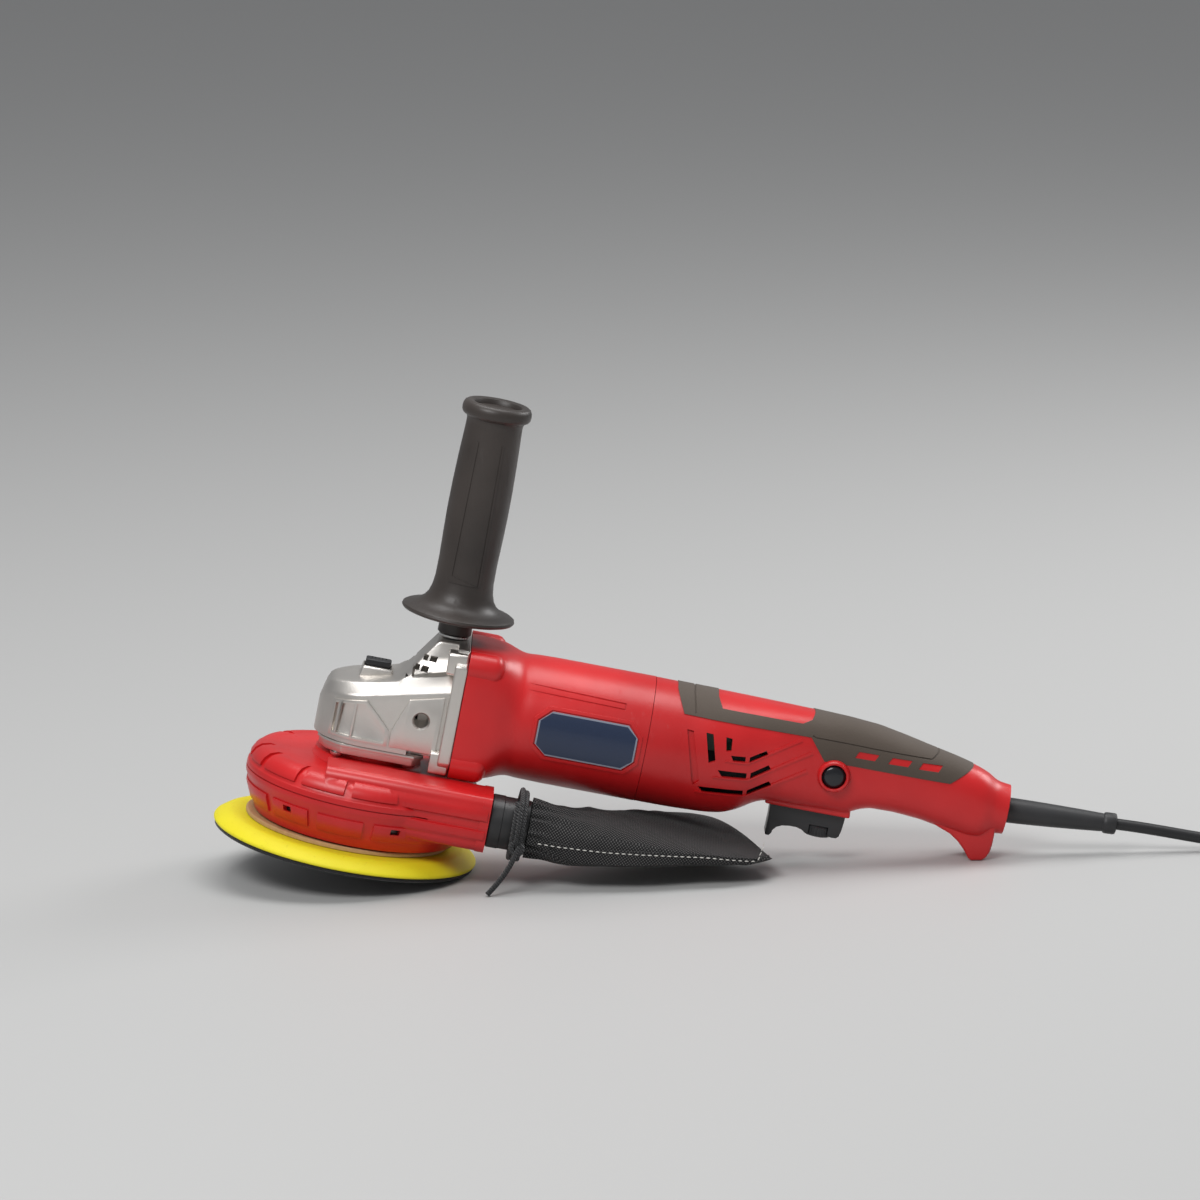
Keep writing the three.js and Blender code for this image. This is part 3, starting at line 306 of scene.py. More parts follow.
def wear(look, color, dark, light, grain=1500, rough=0.45, depth=0.00004, scuffs=0.08):
    """What every moulded surface shares: flow marks in its tone, a fine grain and light scuffs."""
    flow = look.ramp(look.noise(14, detail=3, roughness=0.5), (0.35, (0, 0, 0)), (0.65, (1, 1, 1)))
    shade = tuple(c * dark for c in color)
    bright = tuple(min(c * light + 0.003, 1) for c in color)
    scratches = look.noise(300, detail=2, roughness=0.6, stretch=(1, 1, 0.1)) > 0.66
    gloss = rough + (look.noise(70, detail=3) - 0.5) * 0.16 + scratches * scuffs
    return look.finish(
        look.blend(flow, shade, bright), gloss, look.noise(grain, detail=2) + scratches * 0.2, depth,
    )


sheath = wear(
    Look("cable_sheath", Specular_IOR_Level=0.4), (0.012, 0.012, 0.013), dark=0.8, light=1.5, grain=900,
    rough=0.42,
)
cable = cord_curve("mains_lead", route, CORD)
cable.data.materials.append(sheath)
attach(cable, "machine")
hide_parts("cord_lead", "cord_coil")


def pushed(name, outline, start, end, axis="Y"):
    """An outline pushed along an axis: drawn in (x, z) along Y, in (y, z) along X and in (x, y) along Z."""
    clear()
    bpy.ops.mesh.primitive_circle_add(vertices=len(outline), fill_type="NGON")
    made = bpy.context.object
    made.name = name
    place = {
        "X": lambda a, b: (start, a, b), "Y": lambda a, b: (a, start, b), "Z": lambda a, b: (a, b, start),
    }
    for vertex, point in zip(made.data.vertices, outline):
        vertex.co = place[axis](*point)
    reach = {"X": (end - start, 0, 0), "Y": (0, end - start, 0), "Z": (0, 0, end - start)}
    bpy.ops.object.mode_set(mode="EDIT")
    bpy.ops.mesh.select_all(action="SELECT")
    bpy.ops.mesh.extrude_region_move(TRANSFORM_OT_translate={"value": reach[axis]})
    bpy.ops.mesh.select_all(action="SELECT")
    bpy.ops.mesh.normals_make_consistent(inside=False)
    bpy.ops.object.mode_set(mode="OBJECT")
    return made


def combined(piece, how, tool, keep=False):
    """Joins, cuts or crosses a piece with a tool piece, which is then thrown away unless it is kept."""
    pick(piece)
    bpy.ops.object.modifier_add(type="BOOLEAN")
    boolean = piece.modifiers[-1]
    boolean.operation = how
    boolean.solver = "EXACT"
    boolean.object = tool
    bpy.ops.object.modifier_apply(modifier=boolean.name)
    if not keep:
        bpy.data.objects.remove(tool)
    return piece


def rounded(piece, width, steps=2, angle=35):
    """Breaks the edges of a piece that turn by more than an angle."""
    pick(piece)
    bpy.ops.object.modifier_add(type="BEVEL")
    bevel = piece.modifiers[-1]
    bevel.width = width
    bevel.segments = steps
    bevel.limit_method = "ANGLE"
    bevel.angle_limit = math.radians(angle)
    bpy.ops.object.modifier_apply(modifier=bevel.name)
    return piece


def placed(piece, material, frame_of=MACHINE, smooth=35):
    """Carries a piece from its drawing to its place, smooths it and gives it its one material."""
    pick(piece)
    piece.matrix_world = frame_of
    bpy.ops.object.transform_apply(location=True, rotation=True, scale=True)
    bpy.ops.object.shade_smooth_by_angle(angle=math.radians(smooth))
    piece.data.materials.clear()
    piece.data.materials.append(material)
    return piece


def rounded_box(half_a, half_b, corner, center=(0, 0), steps=5):
    """The outline of a rectangle with round corners."""
    points = []
    for quarter, (side_a, side_b) in enumerate([(1, 1), (-1, 1), (-1, -1), (1, -1)]):
        for step in range(steps + 1):
            angle = math.pi / 2 * (quarter + step / steps)
            a = center[0] + side_a * (half_a - corner) + corner * math.cos(angle)
            points.append((a, center[1] + side_b * (half_b - corner) + corner * math.sin(angle)))
    return points


# The tie is a strip of black hook-and-loop tape closed round the coil.
TABLE = Matrix.Scale(0.001, 4)
TIE_WIDTH = 12
coil_height = 4 * CORD * 1000
tie = pushed(
    "coil_tie", rounded_box(11.4, coil_height / 2 + 0.7, 3.4, center=(0, coil_height / 2 + 0.75)), 0,
    TIE_WIDTH,
)
tie_hole = rounded_box(10.5, coil_height / 2 - 0.1, 3, center=(0, coil_height / 2 + 0.65))
combined(tie, "DIFFERENCE", pushed("tie_hole", tie_hole, -1, TIE_WIDTH + 1))
rounded(tie, width=0.2, steps=1)
tie_turn = Matrix.Translation(1000 * (coil_center + COIL_MEAN * Vector((-0.6, 0.8, 0)))) @ Matrix.Rotation(
    math.atan2(0.8, -0.6), 4, "Z"
)
tie_look = Look("hook_tape", Sheen_Weight=0.3, Specular_IOR_Level=0.2)
tape = tie_look.finish(
    tie_look.blend(tie_look.noise(900, detail=2), (0.008, 0.008, 0.009), (0.03, 0.03, 0.032)),
    0.85 + tie_look.noise(500, detail=2) * 0.1,
    tie_look.noise(1800, detail=1),
    0.0003,
)
placed(tie, tape, TABLE @ tie_turn)
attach(tie, "machine")

# The plug is moulded round the end of the lead: a flat grip with ribs for the fingers, and two brass pins.
PLUG_X = (top.x + 0.001) * 1000
PLUG_Y = (top.y + 0.07) * 1000 + 0.3
plug_outline = [
    (-4.6, 0), (4.6, 0), (6.4, 10), (11.5, 20), (13, 24), (13, 34), (11, 38), (-11, 38), (-13, 34),
    (-13, 24), (-11.5, 20), (-6.4, 10),
]
plug = pushed("mains_plug", plug_outline, 0.1, 13.9, "Z")
rounded(plug, width=2.2, steps=4)
for rib in range(5):
    for side in (-1, 1):
        groove = pushed(
            "finger_groove", rounded_box(0.7, 3.5, 0.6, center=(side * 13.4, 7), steps=3), 21.5 + rib * 2.6,
            22.9 + rib * 2.6,
        )
        combined(plug, "DIFFERENCE", groove)
plug_place = TABLE @ Matrix.Translation((PLUG_X, PLUG_Y, 0))
placed(
    plug, wear(Look("plug_rubber"), (0.014, 0.014, 0.015), dark=0.8, light=1.6, grain=1100, rough=0.5),
    plug_place,
)
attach(plug, "machine")
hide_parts("plug_body")


def turned(name, profile, axis="Z", place=(0, 0, 0), steps=96):
    """A round piece: its closed outline of (radius, height) points spun about an axis through a place."""
    clear()
    bpy.ops.mesh.primitive_circle_add(vertices=len(profile), fill_type="NOTHING")
    made = bpy.context.object
    made.name = name
    for vertex, (radius, height) in zip(made.data.vertices, profile):
        vertex.co = (radius, 0, height)
    bpy.ops.object.mode_set(mode="EDIT")
    bpy.ops.mesh.select_all(action="SELECT")
    bpy.ops.mesh.spin(steps=steps, angle=2 * math.pi, center=(0, 0, 0), axis=(0, 0, 1))
    bpy.ops.mesh.select_all(action="SELECT")
    bpy.ops.mesh.remove_doubles(threshold=0.0005)
    bpy.ops.mesh.delete_loose(use_verts=True, use_edges=True, use_faces=False)
    bpy.ops.mesh.select_all(action="SELECT")
    bpy.ops.mesh.normals_make_consistent(inside=False)
    bpy.ops.object.mode_set(mode="OBJECT")
    made.rotation_euler = {"Z": (0, 0, 0), "X": (0, math.pi / 2, 0), "Y": (-math.pi / 2, 0, 0)}[axis]
    made.location = place
    pick(made)
    bpy.ops.object.transform_apply(location=True, rotation=True, scale=True)
    return made


def metal(name, color, rough, grain, depth, stretch=(1, 1, 1), dull=0.8):
    """Bare metal: tool marks along a direction, a faint mottling and a few dull finger marks."""
    look = Look(name, Metallic=1.0)
    marks = look.noise(grain, detail=3, roughness=0.6, stretch=stretch)
    mottle = look.noise(45, detail=4, roughness=0.6)
    tone = look.blend(mottle, tuple(c * dull for c in color), color)
    gloss = rough + (mottle - 0.5) * 0.22 + (marks - 0.5) * 0.12
    return look.finish(tone, gloss, marks, depth)


pin_brass = metal(
    "pin_brass", (0.82, 0.62, 0.27), rough=0.28, grain=900, depth=0.00002, stretch=(1, 0.1, 1),
)
for side in (-1, 1):
    outline = [(0, 38.3), (2.2, 38.3), (2.2, 55.4), (1.5, 56.6), (0.6, 57), (0, 57)]
    pin = turned("plug_pin", outline, "Y", (PLUG_X + side * 9, PLUG_Y, 7), steps=32)
    placed(pin, pin_brass, TABLE)
    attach(pin, "machine")
    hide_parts("plug_pin_left" if side < 0 else "plug_pin_right")

# ---------------------------------------------------------------------------------------------------
# Strain relief: a tapered sleeve of black rubber, held in the tail of the handle, with an end ring.
RELIEF = [
    (0, -11), (8.8, -11), (8.8, -7.5), (7.15, -7.5), (7.15, 3), (6.95, 12), (6.5, 26), (5.9, 40),
    (5.2, 53.4), (5.1, 54.2), (5.9, 55.2), (6.05, 56.2), (6.05, 60.4), (5.7, 61.5), (4.4, 62), (0, 62),
]
relief = turned("cord_sleeve", RELIEF, "X")
for ring in range(4):
    groove = turned(
        "sleeve_groove", [(4.9, 0), (9, 0), (9, 0.9), (4.9, 0.9)], "X", (33 + ring * 4.6, 0, 0), steps=48,
    )
    ring_depth = 6.35 - ring * 0.24
    groove.data.transform(Matrix.Diagonal((1, ring_depth / 4.9 * 0.985, ring_depth / 4.9 * 0.985, 1)))
    combined(relief, "DIFFERENCE", groove)
relief_place = MACHINE @ Matrix.Translation(
    1000 * Vector(RELIEF_TIP)
) @ Matrix.Rotation(-RELIEF_TILT, 4, "Y")
placed(
    relief, wear(Look("sleeve_rubber"), (0.012, 0.012, 0.013), dark=0.8, light=1.7, grain=1300, rough=0.5),
    relief_place,
)
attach(relief, "machine")
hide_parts("strain_relief")

# ---------------------------------------------------------------------------------------------------
# Backing pad: a disc of firm polyurethane foam, cast with a wide bevel on to a tan plate, with a black
# hook face glued under it. Its centre is swung off the spindle by the eccentric.
ORBIT = (-4, 0, 0)
hook = turned(
    "hook_disc", [(0, 0), (73.2, 0), (74, 0.5), (74, 1.6), (73.6, 2.1), (0, 2.1)], "Z", ORBIT, steps=128,
)
hooks = Look("hook_face", Specular_IOR_Level=0.2, Sheen_Weight=0.2)
loops = hooks.noise(1500, detail=1, roughness=0.5)
black_nylon = hooks.finish(
    hooks.blend(loops, (0.006, 0.006, 0.007), (0.035, 0.035, 0.037)), 0.8 + loops * 0.15, loops, 0.0006
)
placed(hook, black_nylon)
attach(hook, "pad_group")
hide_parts("hook_face")

PAD = [
    (0, 2.2), (73.7, 2.2), (74.6, 2.5), (75, 3.1), (74.95, 3.8), (74.5, 4.5), (70.6, 7.4), (66.6, 9.2),
    (65.6, 9.5), (61, 9.6), (0, 9.6),
]
pad = turned("foam_pad", PAD, "Z", ORBIT, steps=160)
foam = Look("yellow_foam", Specular_IOR_Level=0.35, Subsurface_Weight=0.05, Subsurface_Scale=0.002)
cells = foam.noise(1100, detail=3, roughness=0.6)
cloud = foam.noise(26, detail=4, roughness=0.6)
yellow = foam.blend(cloud, (0.74, 0.63, 0.010), (0.83, 0.75, 0.022))
pores = foam.noise(420, detail=2, roughness=0.5) > 0.69
foam_skin = foam.finish(
    foam.blend(pores * 0.35, yellow, (0.62, 0.5, 0.01)), 0.46 + cells * 0.16, cells * 0.6 - pores * 0.5,
    0.00018
)
placed(pad, foam_skin)
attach(pad, "pad_group")
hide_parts("backing_pad")

PLATE = [(12, 9.75), (57.4, 9.75), (58, 10.2), (58, 11.6), (57.2, 12.2), (12, 12.2)]
plate = turned("pad_disc", PLATE, "Z", ORBIT, steps=128)
for hole in range(8):
    angle = math.pi / 4 * (hole + 0.5)
    spot = (ORBIT[0] + 40 * math.cos(angle), 40 * math.sin(angle), 0)
    combined(
        plate, "DIFFERENCE", turned("air_hole", [(0, 9), (5, 9), (5, 13), (0, 13)], "Z", spot, steps=24),
    )
fibre = Look("tan_fibre_board", Specular_IOR_Level=0.4)
strands = fibre.noise(380, detail=4, roughness=0.7, stretch=(1, 0.15, 1))
board = fibre.finish(
    fibre.blend(strands, (0.36, 0.2, 0.085), (0.62, 0.41, 0.2)), 0.5 + strands * 0.2, strands, 0.0001
)
placed(plate, board)
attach(plate, "pad_group")
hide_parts("pad_plate")

# ---------------------------------------------------------------------------------------------------
# Dust shroud: two red moulded shells that meet at a level seam, stiffened by stepped panels, with a
# ribbed outlet that leaves them on a tangent. They are clipped together and screwed under the gearbox.
SEAM = 36.6
SHROUD_SKIN = [
    (0, 13.2), (57.4, 13.2), (58, 13.8), (60.6, 20.4), (64.3, 29.5), (64.8, 31), (66, 33.4),
    (66.3, 34.6), (66.3, 38.6), (66, 40), (64.7, 41.2), (64.2, 42.6), (62.4, 46), (59.6, 48.4),
    (56, 49.9), (51, 50.6), (42, 50.4), (31.6, 50), (31, 50.8), (30, 52.6), (30, 54.3), (23, 54.3),
    (23, 57.2), (0, 57.2),
]
SHROUD_HOLLOW = [
    (0, 12), (55, 12), (55, 13.2), (61.4, 31.4), (62.6, 34.4), (62.6, 39.6), (59, 44.2), (55, 46.3),
    (47, 46.9), (16, 46.9), (16, 58), (0, 58),
]
OUTLET = (0, -43, 39.2)
red = (0.56, 0.008, 0.010)


def polar(radius, degrees):
    return (radius * math.cos(math.radians(degrees)), radius * math.sin(math.radians(degrees)))


def panels(name, profile, gaps, half_gap):
    """A ring that stands proud of the shroud, cut by gaps at some angles."""
    ring = turned(name, profile, steps=144)
    low = min(z for r, z in profile)
    high = max(z for r, z in profile)
    for gap in gaps:
        corners = [polar(30, gap), polar(80, gap - half_gap), polar(80, gap + half_gap)]
        combined(ring, "DIFFERENCE", pushed("panel_gap", corners, low - 1, high + 1, "Z"))
    return ring


shroud = turned("shroud", SHROUD_SKIN, steps=160)
UPPER_PANELS = [
    (55, 42), (63.5, 42.9), (65.3, 42.6), (65.2, 44), (63.4, 47.2), (60.2, 49.8), (55.4, 50.9),
    (52, 50.4), (52, 46),
]
combined(
    shroud, "UNION",
    panels("upper_panels", UPPER_PANELS, (-152, -124, -97, -70, 20, 62, 104, 146, 188), 2.4),
)
LOWER_PANELS = [(55, 19), (60.9, 19.2), (61.6, 19.8), (64.9, 27.6), (64.9, 29), (63, 29.4), (58, 29)]
combined(shroud, "UNION", panels("lower_panels", LOWER_PANELS, (-141, -113, -84, 30, 74, 118, 162), 3.2))


def ribbed_duct():
    """The outline of the outlet, in (y, z): a round-cornered square with two long steps on its side."""
    half = 15.6
    outline = rounded_box(half, half + 0.7, 6, center=OUTLET[1:], steps=8)
    side = [
        (-half - 1.7, 6.6), (-half - 1.7, 2.4), (-half, 1.8), (-half, -3.2), (-half - 1.7, -3.8),
        (-half - 1.7, -8),
    ]
    corner = next(
        i
        for i, (y, z) in enumerate(outline)
        if y <= OUTLET[1] - half + 0.01 and z < OUTLET[2] + 12
    )
    steps = [(OUTLET[1] + y, OUTLET[2] + z) for y, z in side]
    return outline[: corner + 1] + steps + outline[corner + 1 :]


duct = pushed("outlet", ribbed_duct(), -22, 71, "X")
rounded(duct, width=0.5, steps=2)
combined(
    duct, "UNION",
    pushed("outlet_lip", rounded_box(16.4, 16.6, 6.4, center=OUTLET[1:], steps=8), 67, 72, "X"),
)
combined(shroud, "UNION", duct)
combined(shroud, "DIFFERENCE", turned("shroud_hollow", SHROUD_HOLLOW, steps=160))
bore = turned("outlet_bore", [(0, 0), (13, 0), (13, 70), (0, 70)], "X", (5, *OUTLET[1:]), steps=64)
combined(shroud, "DIFFERENCE", bore)
for angle in (-128, -70, 52, 130):
    x, y = polar(62, angle)
    window = pushed("latch_window", rounded_box(2.8, 1.7, 0.4, center=(0, 26), steps=2), -6, 6)
    window.matrix_world = Matrix.Translation((x, y, 0)) @ Matrix.Rotation(math.radians(angle + 90), 4, "Z")
    combined(shroud, "DIFFERENCE", window)
groove = turned(
    "seam_groove", [(65.5, SEAM - 0.25), (70, SEAM - 0.25), (70, SEAM + 0.45), (65.5, SEAM + 0.45)],
    steps=144,
)
combined(shroud, "DIFFERENCE", groove)
below = pushed("below", [(-99, -99), (99, -99), (99, 99), (-99, 99)], 0, SEAM, "Z")
above = pushed("above", [(-99, -99), (99, -99), (99, 99), (-99, 99)], SEAM + 0.1, 80, "Z")


def copied(piece, name):
    """A copy of a piece with a mesh of its own."""
    pick(piece)
    bpy.ops.object.duplicate()
    made = bpy.context.object
    made.name = name
    return made


red_plastic = wear(
    Look("red_plastic", Specular_IOR_Level=0.5, Coat_Weight=0.05, Coat_Roughness=0.3), red, dark=0.86,
    light=1.1, grain=1300, rough=0.36
)
for name, half, node in [("shroud_bowl", below, "shroud_lower"), ("shroud_cap", above, "shroud_upper")]:
    shell = combined(copied(shroud, name), "INTERSECT", half)
    rounded(shell, width=0.35, steps=1, angle=50)
    placed(shell, red_plastic)
    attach(shell, "machine")
    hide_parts(node)
bpy.data.objects.remove(shroud)

# Spring latches of blued steel show in the windows of the lower shell.
latch_steel = metal("latch_steel", (0.09, 0.085, 0.08), rough=0.4, grain=700, depth=0.00003)
for number, angle in enumerate((-128, -70, 52, 130), 1):
    latch = pushed(
        f"shroud_latch_{number}", [(-3.6, 23.4), (3.6, 23.4), (3.6, 28.4), (-3.6, 28.4)], -0.5, 0.5,
    )
    rounded(latch, width=0.3, steps=2)
    x, y = polar(60.2, angle)
    turn = Matrix.Translation((x, y, 0)) @ Matrix.Rotation(math.radians(angle + 90), 4, "Z")
    placed(latch, latch_steel, MACHINE @ turn)
    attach(latch, "machine")

# ---------------------------------------------------------------------------------------------------
# Dust spigot: a turned black tube pushed into the outlet; the bag is tied over its end.
SPIGOT = [
    (10.7, 58), (12.6, 58), (12.6, 72.4), (14.6, 72.4), (15, 72.9), (15, 79), (14.7, 79.4),
    (14.7, 93.4), (14.4, 94.2), (10.7, 94.2),
]
spigot = turned("bag_spigot", SPIGOT, "X", (0, *OUTLET[1:]))
placed(
    spigot, wear(Look("spigot_plastic"), (0.016, 0.016, 0.017), dark=0.75, light=1.7, grain=800, rough=0.4),
)
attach(spigot, "machine")
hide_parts("dust_spigot")

# ---------------------------------------------------------------------------------------------------
# Dust bag: one piece of black non-woven cloth printed with a fine grid of dots, folded over and closed
# by a seam along its near edge and its end. It sags between the spigot and the table, gathered at its neck.
BAG_TOP = [
    (94.6, 54.6), (108, 54.2), (125, 54.6), (150, 54.2), (172, 52.6), (200, 49.5), (215, 49),
    (232, 48.5),
]
BAG_BOTTOM = [
    (94.6, 23.6), (104, 22.5), (118, 21.5), (150, 26), (180, 32), (207, 38), (222, 41.5), (232, 44.5),
]
BAG_NEAR = [(94.6, -58), (104, -60.5), (120, -63.5), (160, -63), (205, -58.5), (222, -53.5), (232, -46.5)]
BAG_FAR = [
    (94.6, -28), (106, -22), (122, -4), (150, 24), (186, 50), (200, 50), (210, 34), (224, -8),
    (232, -43.5),
]
BAG_SEAM = [(94, 35), (98, 35.5), (105, 36), (139, 38.3), (195, 45.3), (222, 46.7), (236, 49)]
BAG_START = 94.6
BAG_END = 231.5
STATIONS = 150
AROUND = 132
rng = random.Random(7)
creases = [
    (
        rng.uniform(104, 215), rng.uniform(0, 1), rng.uniform(-0.9, 0.9), rng.uniform(7, 16),
        rng.uniform(0.5, 1.3),
    )
    for _ in range(26)
]


def along(points, x, reach=5.0):
    """A smooth line through a few points: the straight one, averaged over a short reach."""
    spots = np.linspace(x - reach, x + reach, 9)
    return float(np.mean(np.interp(spots, [p[0] for p in points], [p[1] for p in points])))


def loft(name, rings, capped=True):
    """A skin over a row of closed rings, each with the same number of points."""
    clear()
    count = len(rings[0])
    bpy.ops.mesh.primitive_grid_add(x_subdivisions=len(rings) - 1, y_subdivisions=count, size=2)
    made = bpy.context.object
    made.name = name
    for number, vertex in enumerate(made.data.vertices):
        row, station = divmod(number, len(rings))
        vertex.co = rings[station][row % count]
    bpy.ops.object.mode_set(mode="EDIT")
    bpy.ops.mesh.select_all(action="SELECT")
    bpy.ops.mesh.remove_doubles(threshold=0.0005)
    if capped:
        bpy.ops.mesh.select_all(action="DESELECT")
        bpy.ops.mesh.select_non_manifold()
        bpy.ops.mesh.edge_face_add()
    bpy.ops.mesh.select_all(action="SELECT")
    bpy.ops.mesh.normals_make_consistent(inside=False)
    bpy.ops.object.mode_set(mode="OBJECT")
    return made


def bag_ring(x):
    """One section of the bag: a round neck that opens into a cushion with a sharp near seam."""
    neck = max(0.0, 1 - (x - BAG_START) / 26)
    neck = neck * neck * (3 - 2 * neck)
    low, high = along(BAG_BOTTOM, x), along(BAG_TOP, x)
    near, far = along(BAG_NEAR, x, 3), along(BAG_FAR, x)
    close = min(1.0, (BAG_END - x) / 14) ** 0.55
    ring = []
    for spot in range(AROUND):
        angle = 2 * math.pi * spot / AROUND
        share = (1 - math.cos(angle)) / 2
        upper = math.sin(angle)
        crown = abs(upper) ** 0.8 * (1 - 0.38 * share ** 1.5)
        seam = along(BAG_SEAM, x)
        middle = seam + (low + 0.42 * (high - low) - seam) * share
        z = middle + (high - middle) * crown if upper > 0 else middle - (middle - low) * abs(upper) ** 0.55
        y = near + (far - near) * share
        z = middle + (z - middle) * close
        gather = neck * (0.9 * math.sin(17 * angle + 0.4) + 0.5 * math.sin(29 * angle))
        fan = math.exp(-((x - 112) / 17) ** 2) * 1.5 * math.sin(11 * angle + 0.05 * x) * abs(upper)
        fold = 0.0
        for place, where, slant, size, depth in creases:
            away = (x - place) * math.cos(slant) + (share - where) * 90 * math.sin(slant)
            across = -(x - place) * math.sin(slant) + (share - where) * 90 * math.cos(slant)
            fold += depth * math.exp(-(away / 3.2) ** 2 - (across / size) ** 2)
        z += (fold * 0.8 + fan) * (0.9 if upper > 0 else 0.3) * close * min(1, abs(upper) * 2)
        round_y = OUTLET[1] - (16.2 + gather) * math.cos(angle)
        round_z = OUTLET[2] + (16.2 + gather) * math.sin(angle)
        ring.append((x, y + (round_y - y) * neck, min(z + (round_z - z) * neck, 55.4)))
    return ring


bag = loft("cloth_bag", [bag_ring(x) for x in np.linspace(BAG_START, BAG_END, STATIONS)])

# The seam: a doubled strip of plain cloth that hangs below the near edge and turns up round the end.
HEM = [
    (98, 35), (106, 35), (112, 33.5), (120, 28.6), (140, 31), (195, 41), (222, 45), (227, 47.2),
    (231, 50.5),
]


def hem_ring(x):
    inside = min(x, BAG_END - 6)
    y = along(BAG_NEAR, inside, 3) + 0.5 * math.sin(x / 9) + max(0, x - 222) * 0.55
    seam = along(BAG_SEAM, x)
    bottom = min(along(HEM, x, 3), seam - 0.5)
    lean = 0.9 * math.sin(x / 14)
    points = [(y + 1.6, seam + 1.6), (y - 0.3, seam + 1.2), (y - 0.9 + lean * 0.3, (seam + bottom) / 2)]
    points += [(y - 0.6 + lean, bottom), (y + 0.1 + lean, bottom - 0.2), (y + 0.8 + lean, bottom)]
    return [(x, *point) for point in points + [(y + 0.9 + lean * 0.3, (seam + bottom) / 2)]]


hem = loft("bag_hem", [hem_ring(x) for x in np.linspace(107, 229.5, 60)])
combined(bag, "UNION", hem)
pick(bag)
bpy.ops.object.mode_set(mode="EDIT")
bpy.ops.mesh.select_all(action="SELECT")
bpy.ops.uv.smart_project(angle_limit=math.radians(80), island_margin=0)
bpy.ops.object.mode_set(mode="OBJECT")
weave = bag.data.uv_layers.active
for polygon in bag.data.polygons:
    steep = abs(polygon.normal.y) > 0.75
    for loop in polygon.loop_indices:
        corner = bag.data.vertices[bag.data.loops[loop].vertex_index].co
        weave.data[loop].uv = (corner.x, corner.z if steep else corner.y + corner.z * 0.35)

cloth = Look("bag_cloth", Sheen_Weight=0.05, Sheen_Roughness=0.6, Specular_IOR_Level=0.2)
DOT_PITCH = 2.6
laid = cloth.node("ShaderNodeUVMap", {"uv_map": weave.name}, {})
warp = (cloth.part(0, laid) + cloth.part(1, laid)) * (2 * math.pi / DOT_PITCH / math.sqrt(2))
weft = (cloth.part(0, laid) - cloth.part(1, laid)) * (2 * math.pi / DOT_PITCH / math.sqrt(2))
dots = (warp.sine() * weft.sine()).size() ** 1.4
fibres = cloth.noise(1600, detail=3, roughness=0.6)
dye = cloth.noise(38, detail=3, roughness=0.5)
grid = dots > 0.5
dull_black = cloth.blend(dye, (0.005, 0.005, 0.006), (0.012, 0.012, 0.013))
printed = cloth.blend(grid * (0.35 + fibres * 0.75), dull_black, (0.13, 0.127, 0.123))
fabric = cloth.finish(printed, 0.74 + fibres * 0.2, dots * 0.8 + fibres * 0.5, 0.0004)
placed(bag, fabric, smooth=60)
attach(bag, "machine")
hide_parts("dust_bag")

# Pale lock stitches close the seam: short raised threads with gaps between them.
STITCH_PITCH = 3.6
thread_path = []
for x in np.arange(100, 225, STITCH_PITCH):
    seam = along(BAG_SEAM, x)
    thread_path.append((x, along(BAG_NEAR, x, 3) - (1.05 if x > 116 else 2.2), seam - 0.4))
clear()
bpy.ops.mesh.primitive_uv_sphere_add(segments=8, ring_count=5, radius=1)
stitch = bpy.context.object
stitch.data.transform(Matrix.Diagonal((1.2, 0.32, 0.32, 1)))
copies = []
for (xa, ya, za), (xb, yb, zb) in zip(thread_path, thread_path[1:]):
    copy = copied(stitch, "stitch")
    turn = Vector((xb - xa, yb - ya, zb - za)).to_track_quat("X", "Z").to_matrix().to_4x4()
    copy.data.transform(Matrix.Translation(((xa + xb) / 2, (ya + yb) / 2, (za + zb) / 2)) @ turn)
    copies.append(copy)
end_x, end_y, end_z = thread_path[-1]
for number in range(4):
    copy = copied(stitch, "stitch")
    turn = Matrix.Rotation(math.radians(-72), 4, "Y")
    spot = (end_x + 1.2 + number * 0.5, end_y + 0.9 + number * 1.3, end_z + 1.6 + number * 2.6)
    copy.data.transform(Matrix.Translation(spot) @ turn)
    copies.append(copy)
bpy.data.objects.remove(stitch)
stitch = pick(copies[0])
stitch.name = "bag_stitches"
for copy in copies:
    copy.select_set(True)
bpy.ops.object.join()
thread = Look("pale_thread", Specular_IOR_Level=0.3)
twist = thread.noise(2600, detail=1)
cotton = thread.finish(
    thread.blend(twist, (0.42, 0.41, 0.38), (0.7, 0.68, 0.64)), 0.7 + twist * 0.15, twist, 0.0001
)
placed(stitch, cotton)
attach(stitch, "machine")

# ---------------------------------------------------------------------------------------------------
# Drawstring: a braided black cord wound twice round the neck of the bag and knotted, one end hanging.
STRING = 3.0
NECK_X = 88.6
neck_turns = []
for step in range(61):
    angle = 2 * math.pi * 2.4 * step / 60 + 2.2
    radius = 18.6 + (1.1 if 20 < step < 40 else 0)
    y, z = OUTLET[1] + radius * math.cos(angle), OUTLET[2] + radius * math.sin(angle)
    neck_turns.append((NECK_X - 2.6 + 5.6 * step / 60, y, z))
KNOT = (90, -61.5, 30.5)
KNOT_LOOP = [
    (0, 0.6, 3.6), (-2.6, -0.6, 2.4), (-3.2, -1.6, -0.8), (-0.6, -2.2, -3), (2.6, -1.4, -1.4),
    (2.2, 0.4, 1.8),
    (-0.6, 0.8, 2.6), (-2.4, 0.6, -0.6), (0.4, 0.2, -3.2), (2.4, -0.6, 0.6),
]
HANGING = [
    (1.6, 1.6, 3.4), (0, 0, 0), (-1.4, -2.2, -5), (-3.4, -3.4, -10.5), (-6, -4, -16), (-8.8, -4.6, -21),
    (-11.6, -5, -25.4),
]


def braid(name, points):
    """A braided cord as a mesh tube, with its weave running along it."""
    made = cord_curve(name, [Vector(point) for point in points], STRING, 4)
    pick(made)
    bpy.ops.object.convert(target="MESH")
    return made


